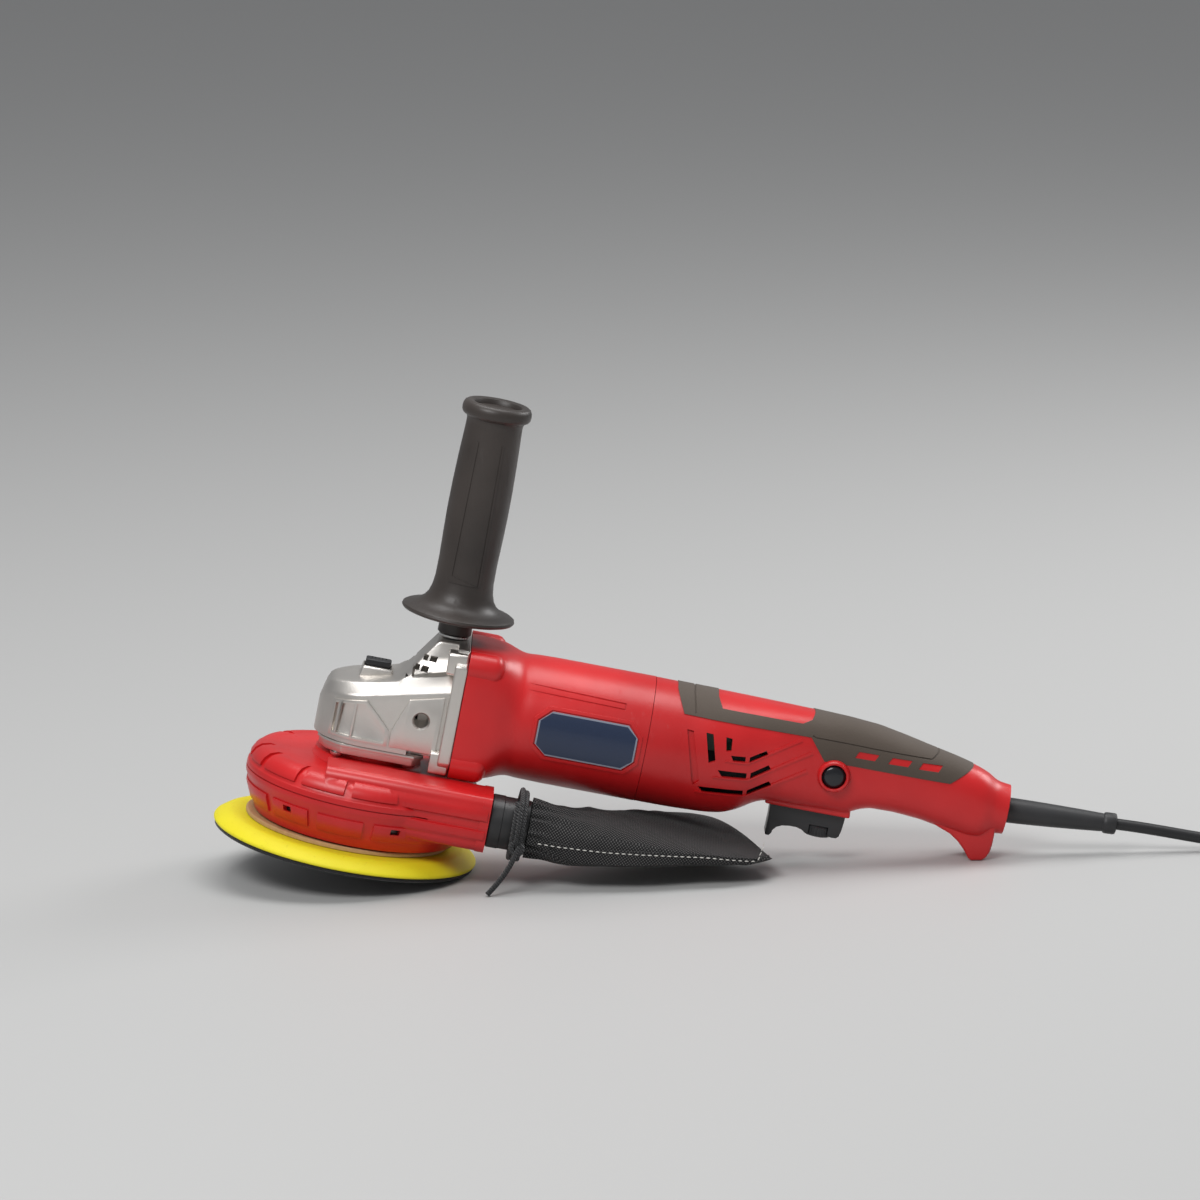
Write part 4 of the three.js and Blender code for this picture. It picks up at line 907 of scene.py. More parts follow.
braided = Look("braided_cord", Sheen_Weight=0.2, Specular_IOR_Level=0.25)
WEAVE = 3300
over = (braided.part(0) * WEAVE + braided.part(2) * WEAVE).sine()
under = (braided.part(1) * WEAVE - braided.part(2) * 1500).sine()
plait = over * under
plaits = braided.finish(
    braided.blend(plait * 0.5 + 0.5, (0.006, 0.006, 0.007), (0.045, 0.045, 0.047)), 0.8 + plait * 0.08,
    plait, 0.0005
)
winding = braid("neck_winding", neck_turns)
knot = braid("string_knot", [tuple(a + b for a, b in zip(KNOT, point)) for point in KNOT_LOOP])
for piece in (winding, knot):
    placed(piece, plaits)
    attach(piece, "machine")
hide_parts("drawstring")
tail_points = [Vector(KNOT) + Vector(point) + Vector((0, -2.2, -2)) for point in HANGING]
string_path = [MACHINE @ point for point in tail_points]
loose = cord_curve("string_end", string_path, STRING / 1000, 4)
loose.data.materials.append(plaits)
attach(loose, "machine")
round(sum((b - a).length for a, b in zip(string_path, string_path[1:])), 4)

# ---------------------------------------------------------------------------------------------------
# Bearing plate: a flat aluminium casting that closes the gearbox from below and carries the shroud.
# Four pan head screws with cross slots hold it.
cast = Look("cast_aluminium", Metallic=1.0)
sand = cast.noise(1500, detail=3, roughness=0.6)
stain = cast.noise(30, detail=4, roughness=0.6)
streak = cast.noise(220, detail=3, roughness=0.5, stretch=(0.25, 1, 1))
alloy = cast.finish(
    cast.blend(stain, (0.60, 0.565, 0.525), (0.78, 0.75, 0.71)),
    0.34 + (stain - 0.5) * 0.16 + sand * 0.1,
    sand * 0.8 + streak * 0.5,
    0.00009,
)
HALF = 29
plate_outline = [
    (-HALF, -12), (-25, -22), (-16, -HALF), (24, -HALF), (HALF, -24), (HALF, 24), (24, HALF), (-16, HALF),
    (-25, 22), (-HALF, 12),
]
bearing_plate = pushed("gearbox_plate", plate_outline, 57.6, 63.6, "Z")
rounded(bearing_plate, width=0.7, steps=2)
ledge = pushed("plate_ledge", [(x * 1.035, y * 1.035) for x, y in plate_outline], 61.6, 63.6, "Z")
combined(bearing_plate, "UNION", rounded(ledge, width=0.4, steps=2))
seat = turned("bearing_seat", [(0, 59), (14.3, 59), (14.3, 65), (0, 65)], steps=64)
combined(bearing_plate, "DIFFERENCE", seat)
combined(bearing_plate, "DIFFERENCE", turned("shaft_way", [(0, 50), (8, 50), (8, 65), (0, 65)], steps=48))
placed(bearing_plate, alloy)
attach(bearing_plate, "machine")
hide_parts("bearing_plate")

zinc = metal("zinc_screw", (0.66, 0.66, 0.65), rough=0.3, grain=1200, depth=0.00003)


def screw(name, place, axis, head, shank, reach, sunk=2.2):
    """A pan head screw that points along an axis: a domed head with a cross recess, and its shank."""
    profile = [
        (0, -sunk - 0.2), (head * 0.6, -sunk - 0.1), (head * 0.9, -sunk * 0.75), (head, -sunk * 0.35),
    ]
    profile += [(head, 0), (shank, 0), (shank, reach - 1), (shank * 0.6, reach), (0, reach)]
    made = turned(name, profile, "Z", steps=40)
    for turn in (0, math.pi / 2):
        slot = pushed(
            "cross_slot", rounded_box(head * 0.55, head * 0.13, head * 0.1, steps=2), -sunk - 1,
            -sunk * 0.3, "Z",
        )
        slot.data.transform(Matrix.Rotation(turn + 0.4, 4, "Z"))
        combined(made, "DIFFERENCE", slot)
    if axis == "X":
        made.data.transform(Matrix.Rotation(math.pi / 2, 4, "Y"))
    made.data.transform(Matrix.Translation(place))
    return placed(made, zinc)


for number, (x, y) in enumerate([(-18, 24), (22, 22), (-18, -24), (22, -22)], 1):
    plate_screw = screw(f"plate_fixing_{number}", (x, y, 57.3), "Z", head=3.6, shank=2, reach=9)
    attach(plate_screw, "machine")
    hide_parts(f"plate_screw_{number}")

# ---------------------------------------------------------------------------------------------------
# Gear housing: one die casting in aluminium. Its sides carry a raised outline round the threaded
# socket, a bright chamfer runs back to the ramp, and the ramp has three rows of paired air vents.
AXIS_Z = 91.9
SIDE_TOP = [(-33, 84), (-28.6, 89), (36, 103), (39, 103.6)]
ROOF_EDGE = [(-33, 90), (-28.6, 94.6), (36, 112), (39, 112.8)]
CREST = [
    (-33, 80), (-32.5, 84), (-31, 90), (-29.7, 94), (-27, 96), (-22, 97.2), (0, 101.5), (8, 103.4),
    (12, 107), (27, 128.4), (39, 128.9),
]


NOSE_X = -6
NOSE_LENGTH = 27
CORNER_ROUND = 1.1


def eased(points, reach):
    """The same open outline with every inner corner cut back by a short reach, as a small round."""
    made = [points[0]]
    for before, corner, after in zip(points, points[1:], points[2:]):
        spot, sides = Vector(corner), [Vector(before), Vector(after)]
        first, last = (
            spot + (side - spot).normalized() * min(reach, (side - spot).length * 0.4)
            for side in sides
        )
        made += [tuple(first), tuple((first + last) * 0.25 + spot * 0.5), tuple(last)]
    return made + [points[-1]]


def housing_ring(x):
    """One section of the casting across the machine, from its foot round over its roof."""
    nose = math.sqrt(max(1e-4, 1 - (min(x, NOSE_X) - NOSE_X) ** 2 / (NOSE_LENGTH + 0.05) ** 2))
    crest = along(CREST, x, 1.4)
    side, edge = min(along(SIDE_TOP, x, 2), crest - 4), min(along(ROOF_EDGE, x, 2), crest - 0.6)
    half = [(31, 64), (31, 70), (31, side - 6), (31, side), (24, edge)]
    if crest > edge + 6:
        half += [(19, edge + 0.6), (15.2, edge + (crest - edge) * 0.45), (13.6, crest - 1), (12.4, crest)]
    else:
        half += [(20, edge + (crest - edge) * 0.55), (14, crest - 0.1), (9, crest), (5, crest)]
    half = [(nose * y, z) for y, z in eased(half, CORNER_ROUND)]
    return [(x, -y, z) for y, z in half] + [(x, y, z) for y, z in reversed(half)]


stations = [NOSE_X - NOSE_LENGTH * math.sin(math.pi / 2 * step / 14) for step in range(14, 0, -1)]
stations += list(np.linspace(NOSE_X, 8, 6))
stations += list(np.linspace(9.5, 39, 22))
housing = loft("gearbox", [housing_ring(x) for x in stations])


def octagon(half, corner):
    return [
        (-half, -corner), (-corner, -half), (corner, -half), (half, -corner),
        (half, corner), (corner, half), (-corner, half), (-half, corner),
    ]


def about_motor(outline):
    return [(y, AXIS_Z + z) for y, z in outline]


flange = rounded(pushed("motor_flange", about_motor(octagon(37, 28)), 38, 45, "X"), width=1.1, steps=3)
combined(housing, "UNION", flange)
SCREW_SPOTS = [(28, 28), (-28, 28), (28, -28), (-28, -28)]
for y, z in SCREW_SPOTS:
    block = pushed(
        "screw_block", rounded_box(6.4, 6.4, 2, center=(y * 1.02, AXIS_Z + z * 1.02)), 33.5, 44, "X",
    )
    combined(housing, "UNION", rounded(block, width=0.8, steps=2))
boss = pushed("button_boss", [(-14, 97.5), (6.5, 97.5), (4.2, 104.9), (-12.2, 104.9)], -8.4, 8.4)
combined(housing, "UNION", rounded(boss, width=1.1, steps=3))

# The raised outline follows the side: a low plate in front, a rising one round the socket behind.
# Both are trimmed to the plan of the nose, and the front one is hollowed to a rim and two ribs.
FRONT_PANEL = [(-25, 67), (-25, 87), (-6.6, 90.7), (4.6, 80), (8.4, 76), (8.4, 67)]
FRONT_WELL = [(-23.4, 69), (-23.4, 85.4), (-7.4, 88.4), (2.8, 78.6), (6.2, 74.8), (6.2, 69)]
REAR_PANEL = [(9.6, 67), (9.6, 76.5), (16.7, 95.5), (36, 100.3), (36, 67)]
PANEL_HALF, PANEL_NOSE = 32.5, 28.6
WELL_HALF, WELL_NOSE = 31.15, 27.25


def plan_of(width, length):
    """A prism with the plan of the casting: an ellipse for the nose and straight sides behind it."""
    curve = []
    for x in np.linspace(NOSE_X - length, 48, 61):
        curve.append((x, width * math.sqrt(max(0, 1 - (min(x, NOSE_X) - NOSE_X) ** 2 / length ** 2))))
    return pushed("nose_plan", curve + [(x, -y) for x, y in reversed(curve[1:])], 55, 110, "Z")


for side in (-1, 1):
    reach = sorted((side * 9, side * 36))
    for outline in (FRONT_PANEL, REAR_PANEL):
        panel = pushed("side_panel", outline, *reach)
        combined(panel, "INTERSECT", plan_of(PANEL_HALF, PANEL_NOSE))
        if outline is FRONT_PANEL:
            well = pushed("panel_well", FRONT_WELL, *sorted((side * 8, side * 38)))
            combined(well, "DIFFERENCE", plan_of(WELL_HALF, WELL_NOSE))
            for x in (-22, -13):
                rib = pushed(
                    "panel_rib", [(x, 68), (x + 1.2, 68), (x + 1.2, 90), (x, 90)],
                    *sorted((side * 7, side * 39)),
                )
                combined(well, "DIFFERENCE", rib)
            combined(panel, "DIFFERENCE", well)
        combined(housing, "UNION", rounded(panel, width=0.3, steps=2, angle=40))

tools = [turned("gear_space", [(0, 60), (26.5, 60), (26.5, 88.8), (0, 88.8)])]
tools += [
    turned(
        "shaft_tunnel", [(0, 3.7), (8.8, 3.7), (8.8, 16), (10.5, 17.7), (10.5, 38), (0, 38)], "X",
        (0, 0, AXIS_Z), steps=64,
    )
]
tools += [turned("bearing_seat", [(0, 33), (16.3, 33), (16.3, 46), (0, 46)], "X", (0, 0, AXIS_Z), steps=64)]
tools += [turned("upper_bush_seat", [(0, 88), (7.3, 88), (7.3, 96.4), (0, 96.4)], steps=46)]
tools += [turned("stud_hole", [(0, 112), (4.3, 112), (4.3, 130), (0, 130)], "Z", (34.5, 0, 0), steps=40)]
tools += [turned("pin_hole", [(0, 87), (2.2, 87), (2.2, 106), (0, 106)], "Z", (-9.3, 0, 0), steps=24)]
tools += [pushed("button_pocket", rounded_box(7.8, 5.5, 1, center=(-4, 0)), 100.3, 106, "Z")]
for side in (-1, 1):
    socket = [(0, 13), (4.1, 13), (4.1, 31.4), (5.1, 32.6), (5.1, 34), (0, 34)]
    place = turned("handle_socket", [(r, side * h) for r, h in socket], "Y", (25, 0, 84.9), steps=48)
    tools.append(place)
    tools.append(
        pushed(
            "oval_slot", rounded_box(1.5, 4.4, 1.45, center=(33.2, 112.5), steps=6),
            *sorted((side * 11, side * 16)),
        )
    )
VENTS = [(15, 103.8), (19.6, 109.8), (23.4, 115.8)]
for x, z in VENTS:
    for side in (-1, 1):
        for start, end in ((x - 3.6, x - 1.1), (x, x + 4)):
            vent = [(start, z), (end, z), (end + 0.6, z + 3.2), (start + 0.6, z + 3.2)]
            tools.append(pushed("air_vent", vent, *sorted((side * 3, side * 22))))
for y, z in SCREW_SPOTS:
    tools.append(
        turned(
            "screw_way", [(0, 20), (4.2, 20), (4.2, 38), (2.7, 38), (2.7, 46), (0, 46)], "X",
            (0, y, AXIS_Z + z), steps=32,
        )
    )
for tool in tools:
    combined(housing, "DIFFERENCE", tool)
placed(housing, alloy, smooth=28)
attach(housing, "machine")
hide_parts("gear_housing")

for number, (y, z) in enumerate(SCREW_SPOTS, 1):
    motor_screw = screw(
        f"motor_fixing_{number}", (37.7, y, AXIS_Z + z), "X", head=3.8, shank=2.4, reach=23, sunk=2.6,
    )
    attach(motor_screw, "machine")
    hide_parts(f"motor_screw_{number}")

# Spindle lock: a black moulded button in the boss on the roof, over a spring.
lock = pushed("lock_cap", rounded_box(7.2, 4.9, 1.2, center=(-4, 0)), 104.7, 108.5, "Z")
rounded(lock, width=0.7, steps=3)
for line in range(5):
    x = -8 + 2 * line
    combined(
        lock, "DIFFERENCE",
        pushed("finger_line", rounded_box(0.35, 3.6, 0.3, center=(x, 0), steps=2), 108.1, 109, "Z"),
    )
combined(
    lock, "UNION",
    turned("lock_pin", [(0, 92), (1.9, 92), (1.9, 105), (0, 105)], "Z", (-9.3, 0, 0), steps=24),
)
black_plastic = wear(
    Look("black_plastic", Specular_IOR_Level=0.5), (0.012, 0.012, 0.013), dark=0.75, light=1.8, grain=1500,
    rough=0.36,
)
placed(lock, black_plastic)
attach(lock, "spindle_lock")
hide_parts("spindle_lock_button")

# ---------------------------------------------------------------------------------------------------
# Side handle: a hollow black-brown grip moulded in two-part tooling, with a wide guard, a flanged end
# and a thin raised panel on each side. A steel stud moulded into it screws into the top of the casting.
HANDLE_X = 34.5
GRIP_FOOT = 131.1
WASHER = [(4.3, 129.2), (8.2, 129.2), (8.5, 129.5), (8.5, 130.5), (8.2, 130.8), (4.3, 130.8)]
washer = turned("handle_washer", WASHER, "Z", (HANDLE_X, 0, 0), steps=64)
placed(washer, zinc)
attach(washer, "machine")
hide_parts("side_handle_washer")

GRIP = [
    (4.3, 0), (9.1, 0), (9.5, 0.5), (9.5, 6), (9.9, 7.1), (11.5, 7.9), (17, 8.7), (24, 9.4), (29, 10),
    (31.2, 10.7), (32, 11.8), (31.6, 13), (30.2, 13.8), (27, 14.7), (23.4, 16.2), (20.6, 18.4),
    (18.6, 21.4), (17.3, 25.5), (16.6, 31), (16.5, 42), (16.9, 56), (17.2, 70), (17.1, 85), (16.7, 100),
    (16.2, 112), (15.9, 119), (15.9, 122.6), (16.6, 124.2), (18.6, 125.3), (19.4, 126.6), (19.6, 128.4),
    (19.4, 130.4), (18.6, 132), (17.2, 132.9), (15.2, 133), (13.6, 132.4), (12.9, 131.2), (12.6, 129.8),
    (10, 129.4), (0, 129.3), (0, 40), (4.3, 40),
]
grip = turned("handle_grip", GRIP, "Z", (HANDLE_X, 0, GRIP_FOOT), steps=96)


def mantle(profile, grow):
    """The outer part of a turned outline, as a thin skin that stands on it."""
    outer = [(radius + grow, height) for radius, height in profile]
    return outer + [(radius - 1.5, height) for radius, height in reversed(profile)]


for side in (-1, 1):
    frame_outline = [(-9, 162), (9, 158), (7.4, 246), (4.6, 250.5), (-6.4, 250.5), (-8.2, 246)]
    opening = [(x * 0.86, 162.2 + (z - 158) * 0.965 if z < 200 else z - 1.2) for x, z in frame_outline]
    strip = pushed(
        "grip_panel", [(HANDLE_X + x, z) for x, z in frame_outline], *sorted((side * 8, side * 24)),
    )
    hole = pushed("panel_hole", [(HANDLE_X + x, z) for x, z in opening], *sorted((side * 5, side * 30)))
    combined(strip, "DIFFERENCE", hole)
    skin = [(r, h) for r, h in GRIP if 16 < r < 17.3 and 25 < h < 122]
    combined(
        strip, "INTERSECT", turned("grip_skin", mantle(skin, 0.4), "Z", (HANDLE_X, 0, GRIP_FOOT), steps=96),
    )
    combined(grip, "UNION", strip)
grip_look = Look("grip_plastic", Specular_IOR_Level=0.45)
satin = wear(
    grip_look, (0.030, 0.024, 0.021), dark=0.72, light=1.5, grain=1400, rough=0.42, depth=0.00005,
    scuffs=0.12,
)
placed(grip, satin)
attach(grip, "machine")
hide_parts("side_handle_grip")

# ---------------------------------------------------------------------------------------------------
# Motor housing: a red moulded barrel behind a squared collar. A pod at each corner of the collar takes
# a long screw; the near side has a fine panel line, and a raised edge frames the name plate.
MOTOR_FRONT = 45.3
MOTOR_BACK = 150.7
BARREL = [
    (45, 36.6), (58, 36.6), (66, 36.4), (72, 35.2), (76, 34.5), (84, 35.2), (96, 35.5), (130, 35.5),
    (152, 35.5),
]
SQUARENESS = [(45, 5.2), (58, 5.0), (66, 3.6), (72, 2.6), (78, 2.05), (90, 2), (152, 2)]
SIDES = 128


def motor_ring(x, inset=0.0):
    """One section of the housing: a rounded square at the collar that melts into the round barrel."""
    half = along(BARREL, x, 2.5) - inset
    power = 2 / along(SQUARENESS, x, 2.5)
    ring = []
    for spot in range(SIDES):
        angle = 2 * math.pi * (spot + 0.5) / SIDES
        c, s = math.cos(angle), math.sin(angle)
        ring.append(
            (x, half * math.copysign(abs(c) ** power, c), AXIS_Z + half * math.copysign(abs(s) ** power, s))
        )
    return ring


motor = loft("motor_barrel", [motor_ring(x) for x in np.linspace(MOTOR_FRONT, MOTOR_BACK, 64)])
for y, z in SCREW_SPOTS:
    pod = turned(
        "screw_pod", [(0, 0), (8.7, 0), (8.7, 14.5), (8.1, 17), (6.4, 19), (3.6, 20.2), (0, 20.6)], "X",
        (0, 0, 0), steps=48,
    )
    pod.data.transform(Matrix.Translation((MOTOR_FRONT, y * 1.0, AXIS_Z + z * 1.0)))
    combined(motor, "UNION", pod)
LABEL_START = 89.3
LABEL = [(0, -6.6), (7, -12.7), (50, -12.7), (56, -6.6), (56, 6.6), (50, 12.7), (7, 12.7), (0, 6.6)]


def label_outline(grow):
    middle = LABEL_START + 28
    return [
        (middle + (x - 28) * (1 + grow / 28), AXIS_Z + z * (1 + grow / 12.7)) for x, z in LABEL
    ]


def band(name, inner, outer, start, end):
    """A round skin about the motor axis, between two radii."""
    profile = [(inner, start), (outer, start), (outer, end), (inner, end)]
    return turned(name, profile, "X", (0, 0, AXIS_Z), steps=160)


rim = pushed("label_rim", label_outline(2.6), -50, -5)
combined(rim, "DIFFERENCE", pushed("rim_hole", label_outline(0.8), -60, 0))
combined(rim, "INTERSECT", band("rim_skin", 34, 36.2, 80, 160))
combined(motor, "UNION", rounded(rim, width=0.25, steps=1, angle=50))
line = pushed(
    "panel_line", [(80.5, AXIS_Z + 24.6), (136, AXIS_Z + 23.4), (136, AXIS_Z + 20), (80.5, AXIS_Z + 20.8)],
    -50, -5,
)
core = [(81.2, AXIS_Z + 24), (135.4, AXIS_Z + 22.8), (135.4, AXIS_Z + 20.6), (81.2, AXIS_Z + 21.4)]
combined(line, "DIFFERENCE", pushed("panel_core", core, -60, 0))
combined(line, "INTERSECT", band("line_skin", 35.05, 40, 78, 140))
combined(motor, "DIFFERENCE", line)
combined(
    motor, "DIFFERENCE",
    turned("motor_bore", [(0, 40), (32.5, 40), (32.5, 141.7), (0, 141.7)], "X", (0, 0, AXIS_Z), steps=96),
)
combined(
    motor, "DIFFERENCE",
    turned("rear_seat", [(0, 140), (11.3, 140), (11.3, 153), (0, 153)], "X", (0, 0, AXIS_Z), steps=48),
)
for y, z in SCREW_SPOTS:
    combined(
        motor, "DIFFERENCE",
        turned(
            "screw_hole", [(0, 44), (2.7, 44), (2.7, 62.5), (0, 62.5)], "X", (0, y, AXIS_Z + z), steps=24,
        ),
    )
placed(motor, red_plastic, smooth=32)
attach(motor, "machine")
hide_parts("motor_housing")

# Name plate: a printed film label, left blank: a dark blue field inside a pale printed border.
label = pushed("name_label", label_outline(0), -50, -5)
combined(label, "INTERSECT", band("label_skin", 35.9, 36.5, 80, 160))
print_look = Look("name_label", Specular_IOR_Level=0.5, Coat_Weight=0.3, Coat_Roughness=0.15)
turned_x = print_look.part(0) * spindle_axis.z - print_look.part(2) * spindle_axis.x
turned_z = print_look.part(0) * spindle_axis.x + print_look.part(2) * spindle_axis.z
label_middle = Vector(MACHINE @ Vector((LABEL_START + 28, 0, AXIS_Z)))
across = (turned_x - (label_middle.x * spindle_axis.z - label_middle.z * spindle_axis.x)).size()
upward = (turned_z - (label_middle.x * spindle_axis.x + label_middle.z * spindle_axis.z)).size()
edge = (across > 0.0271).most(upward > 0.01185).most(across + upward * 1.15 > 0.0351)
ink = print_look.noise(900, detail=2)
navy = print_look.blend(ink, (0.006, 0.017, 0.052), (0.009, 0.024, 0.066))
placed(
    label,
    print_look.finish(print_look.blend(edge, navy, (0.22, 0.24, 0.3)), 0.34 + ink * 0.08, ink, 0.00001),
)
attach(label, "machine")
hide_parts("name_plate")

# ---------------------------------------------------------------------------------------------------
# Inside the machine: spindle, eccentric, gears, bearings, motor and switch keep the frame's own solids,
# and each gets the finish of its real material.
steel = metal(
    "ground_steel", (0.58, 0.58, 0.59), rough=0.24, grain=1500, depth=0.00002, stretch=(0.1, 1, 1),
)
gear_steel = metal("gear_steel", (0.30, 0.30, 0.31), rough=0.38, grain=1100, depth=0.00004)
iron = metal("cast_iron", (0.22, 0.22, 0.23), rough=0.5, grain=800, depth=0.0001)
bronze = metal("bush_bronze", (0.65, 0.42, 0.18), rough=0.35, grain=1300, depth=0.00003)
laminated = Look("laminated_core", Metallic=0.9)
plates = ((laminated.part(0) * spindle_axis.z - laminated.part(2) * spindle_axis.x) * 9000).sine()
lamination = laminated.finish(
    laminated.blend(plates * 0.5 + 0.5, (0.10, 0.10, 0.11), (0.24, 0.24, 0.25)), 0.45 + plates * 0.1,
    plates, 0.0001
)
wound = Look("enamelled_copper", Metallic=0.7)
strand = (wound.part(1) * 7000 + wound.noise(30, detail=2) * 4).sine()
copper_wire = wound.finish(
    wound.blend(strand * 0.5 + 0.5, (0.28, 0.09, 0.03), (0.62, 0.27, 0.11)), 0.32 + strand * 0.08, strand,
    0.0002
)
bars = metal("commutator_copper", (0.72, 0.36, 0.2), rough=0.3, grain=1500, depth=0.00003)
brush_carbon = wear(
    Look("brush_carbon"), (0.02, 0.02, 0.021), dark=0.8, light=1.5, grain=2000, rough=0.7, depth=0.00008,
)
circuit = Look("circuit_board", Coat_Weight=0.4, Coat_Roughness=0.2)
tracks = ((circuit.part(0) * 2500).sine() * (circuit.part(1) * 2500).sine()) > 0.3
solder = circuit.noise(300, detail=2)
circuit_green = circuit.finish(
    circuit.blend(tracks * 0.5, (0.01, 0.09, 0.035), (0.05, 0.2, 0.09)), 0.35 + solder * 0.15, tracks,
    0.00005
)
FINISHES = [
    (steel, "spindle", "pad_stud", "pad_bearing", "lower_spindle_bearing", "front_bearing", "rear_bearing"),
    (steel, "armature_shaft", "side_handle_stud"),
    (gear_steel, "crown_gear", "pinion_gear"),
    (iron, "eccentric_hub"),
    (bronze, "upper_spindle_bush", "brush_holder_left", "brush_holder_right"),
    (lamination, "field_core", "armature_core"),
    (copper_wire, "field_coil_upper", "field_coil_lower"),
    (bars, "commutator"),
    (brush_carbon, "brush_left", "brush_right"),
    (circuit_green, "speed_module"),
    (black_plastic, "dust_fan", "cooling_fan", "switch_body"),
]
for finish, *names in FINISHES:
    for name in names:
        node = frame["nodes"][name]
        node.data.materials.clear()
        node.data.materials.append(finish)

# ---------------------------------------------------------------------------------------------------
# Rear handle: two red clamshell halves that meet on the middle plane, screwed together from the far
# side. They taper from the motor's round to a flat-sided grip, with a foot under the tail.
FRONT = 151.0
HANDLE_LENGTH = 208.3
TOP_LINE = [
    (-2, 35.4), (20, 35), (60, 34.4), (91, 33.7), (112, 33), (129, 31.6), (145, 28.6), (160, 25.4),
    (175, 22.4), (188, 19.2), (196, 16.2), (199, 13.6), (203, 12.8), (209, 12.2),
]
UNDER_LINE = [
    (-2, -35.4), (20, -35.2), (40, -34.2), (50, -32.6), (58, -29), (66, -23.4), (72, -21), (118, -20.8),
    (124, -17), (131, -14.6), (145, -14.4), (160, -15.6), (175, -18.4), (188, -21), (196, -21),
    (200, -16.5), (209, -15.6),
]
HALF_LINE = [
    (-2, 35.4), (14, 35.2), (34, 34.2), (52, 31.2), (68, 26.4), (80, 23.2), (95, 20.9), (110, 19.9),
    (150, 19.5), (180, 18.7), (194, 17.6), (200, 14.9), (209, 14.2),
]
FULLNESS = [(-2, 2), (20, 2.05), (60, 2.35), (90, 2.7), (130, 2.6), (190, 2.4), (200, 2.1), (209, 2)]


def handle_ring(x, inset=0.0):
    """One section of the handle, in from its skin by an inset."""
    high, low = along(TOP_LINE, x, 2.5) - inset, along(UNDER_LINE, x, 2.5) + inset
    half, power = along(HALF_LINE, x, 2.5) - inset, 2 / along(FULLNESS, x, 3)
    middle = (high + low) / 2 * min(1, max(0, (x - 40) / 40))
    ring = []
    for spot in range(SIDES):
        angle = 2 * math.pi * (spot + 0.5) / SIDES
        c, s = math.cos(angle), math.sin(angle)
        reach = high - middle if s > 0 else middle - low
        y = half * math.copysign(abs(c) ** power, c)
        ring.append((FRONT + x, y, AXIS_Z + middle + reach * math.copysign(abs(s) ** power, s)))
    return ring


def handle_loft(name, inset, start, end, stations=110):
    return loft(name, [handle_ring(x, inset) for x in np.linspace(start, end, stations)])


def on_handle(outline):
    """Places measured from the front face of the handle and the motor axis."""
    return [(FRONT + x, AXIS_Z + z) for x, z in outline]


handle = handle_loft("handle", inset=0, start=0, end=HANDLE_LENGTH - 0.6)
tail_ring = turned(
    "tail_ring", [(0, 0), (13.6, 0), (14, 0.6), (14, 9), (13.2, 10.4), (10.6, 11.1), (0, 11.1)], "X",
    (0, 0, 0), steps=64,
)
tail_ring.data.transform(Matrix.Translation((FRONT + 197.2, 0, AXIS_Z - 1.8)))
combined(handle, "UNION", tail_ring)
FOOT = [
    (203, -8), (203.2, -20), (202.6, -25.5), (200.9, -29.4), (198.7, -31.1), (193.2, -32.2),
    (191.2, -31.2), (188, -27), (183.6, -22.8), (178.5, -19.4), (171, -16.6), (166, -14.4), (164, -10),
]
foot = pushed("foot", on_handle(FOOT), -11.6, 11.6)
rounded(foot, width=1.6, steps=3, angle=50)
combined(handle, "UNION", foot)
TRIGGER_SLOT = [(75.5, -36), (119.7, -36), (119.7, -12), (75.5, -12)]
collar = pushed(
    "trigger_collar", on_handle([(73.6, -14), (72.6, -21.6), (121.4, -21.6), (120.6, -14)]), -11.2, 11.2,
)
combined(handle, "UNION", rounded(collar, width=1.2, steps=3))

# The recess for the soft grip is 1.2 deep. The inlay on its top and the three windows stay red.
RUBBER = [
    (11.2, 60), (12.4, 34), (17.6, 23.8), (90.5, 22.4), (100, 10.6), (172, 10.6), (184.5, 20.4),
    (186.6, 60),
]
INLAY = [(35, 60), (35.6, 34), (38.6, 29.3), (84.5, 28.6), (89.5, 31), (91.5, 34.6), (91.8, 60)]
WINDOWS = [[(x, 15.4), (x + 11.5, 15.6), (x + 13.5, 19.4), (x + 2, 19.2)] for x in (116.5, 135.5, 153)]
GRIP_LINES = [
    [(22.5, 60), (22.5, 34), (24.6, 25), (23.7, 24.7), (21.6, 34), (21.6, 60)],
    [
        (91, 23.2), (93, 22.2), (160, 21.2), (166.6, 27), (166, 27.6), (159.6, 21.9), (93.2, 22.9),
        (91.4, 23.8),
    ],
]


def zone(name, outline):
    return pushed(name, on_handle(outline), -60, 60)


grip_zone = zone("grip_zone", RUBBER)
combined(grip_zone, "DIFFERENCE", zone("inlay", INLAY))
for window in WINDOWS:
    combined(grip_zone, "DIFFERENCE", zone("window", window))
soft = handle_loft("soft_grip", inset=-0.4, start=2, end=200, stations=100)
combined(soft, "INTERSECT", grip_zone, keep=True)
recess = combined(
    grip_zone, "DIFFERENCE", handle_loft("recess_floor", inset=1.2, start=0, end=206, stations=80),
)
combined(handle, "DIFFERENCE", recess)
combined(soft, "DIFFERENCE", handle_loft("soft_floor", inset=0.9, start=0, end=206, stations=80))
for number, outline in enumerate(GRIP_LINES):
    line = zone("grip_line", outline)
    combined(line, "DIFFERENCE", handle_loft("line_floor", inset=0.15, start=0, end=206, stations=60))
    combined(soft, "DIFFERENCE", line)

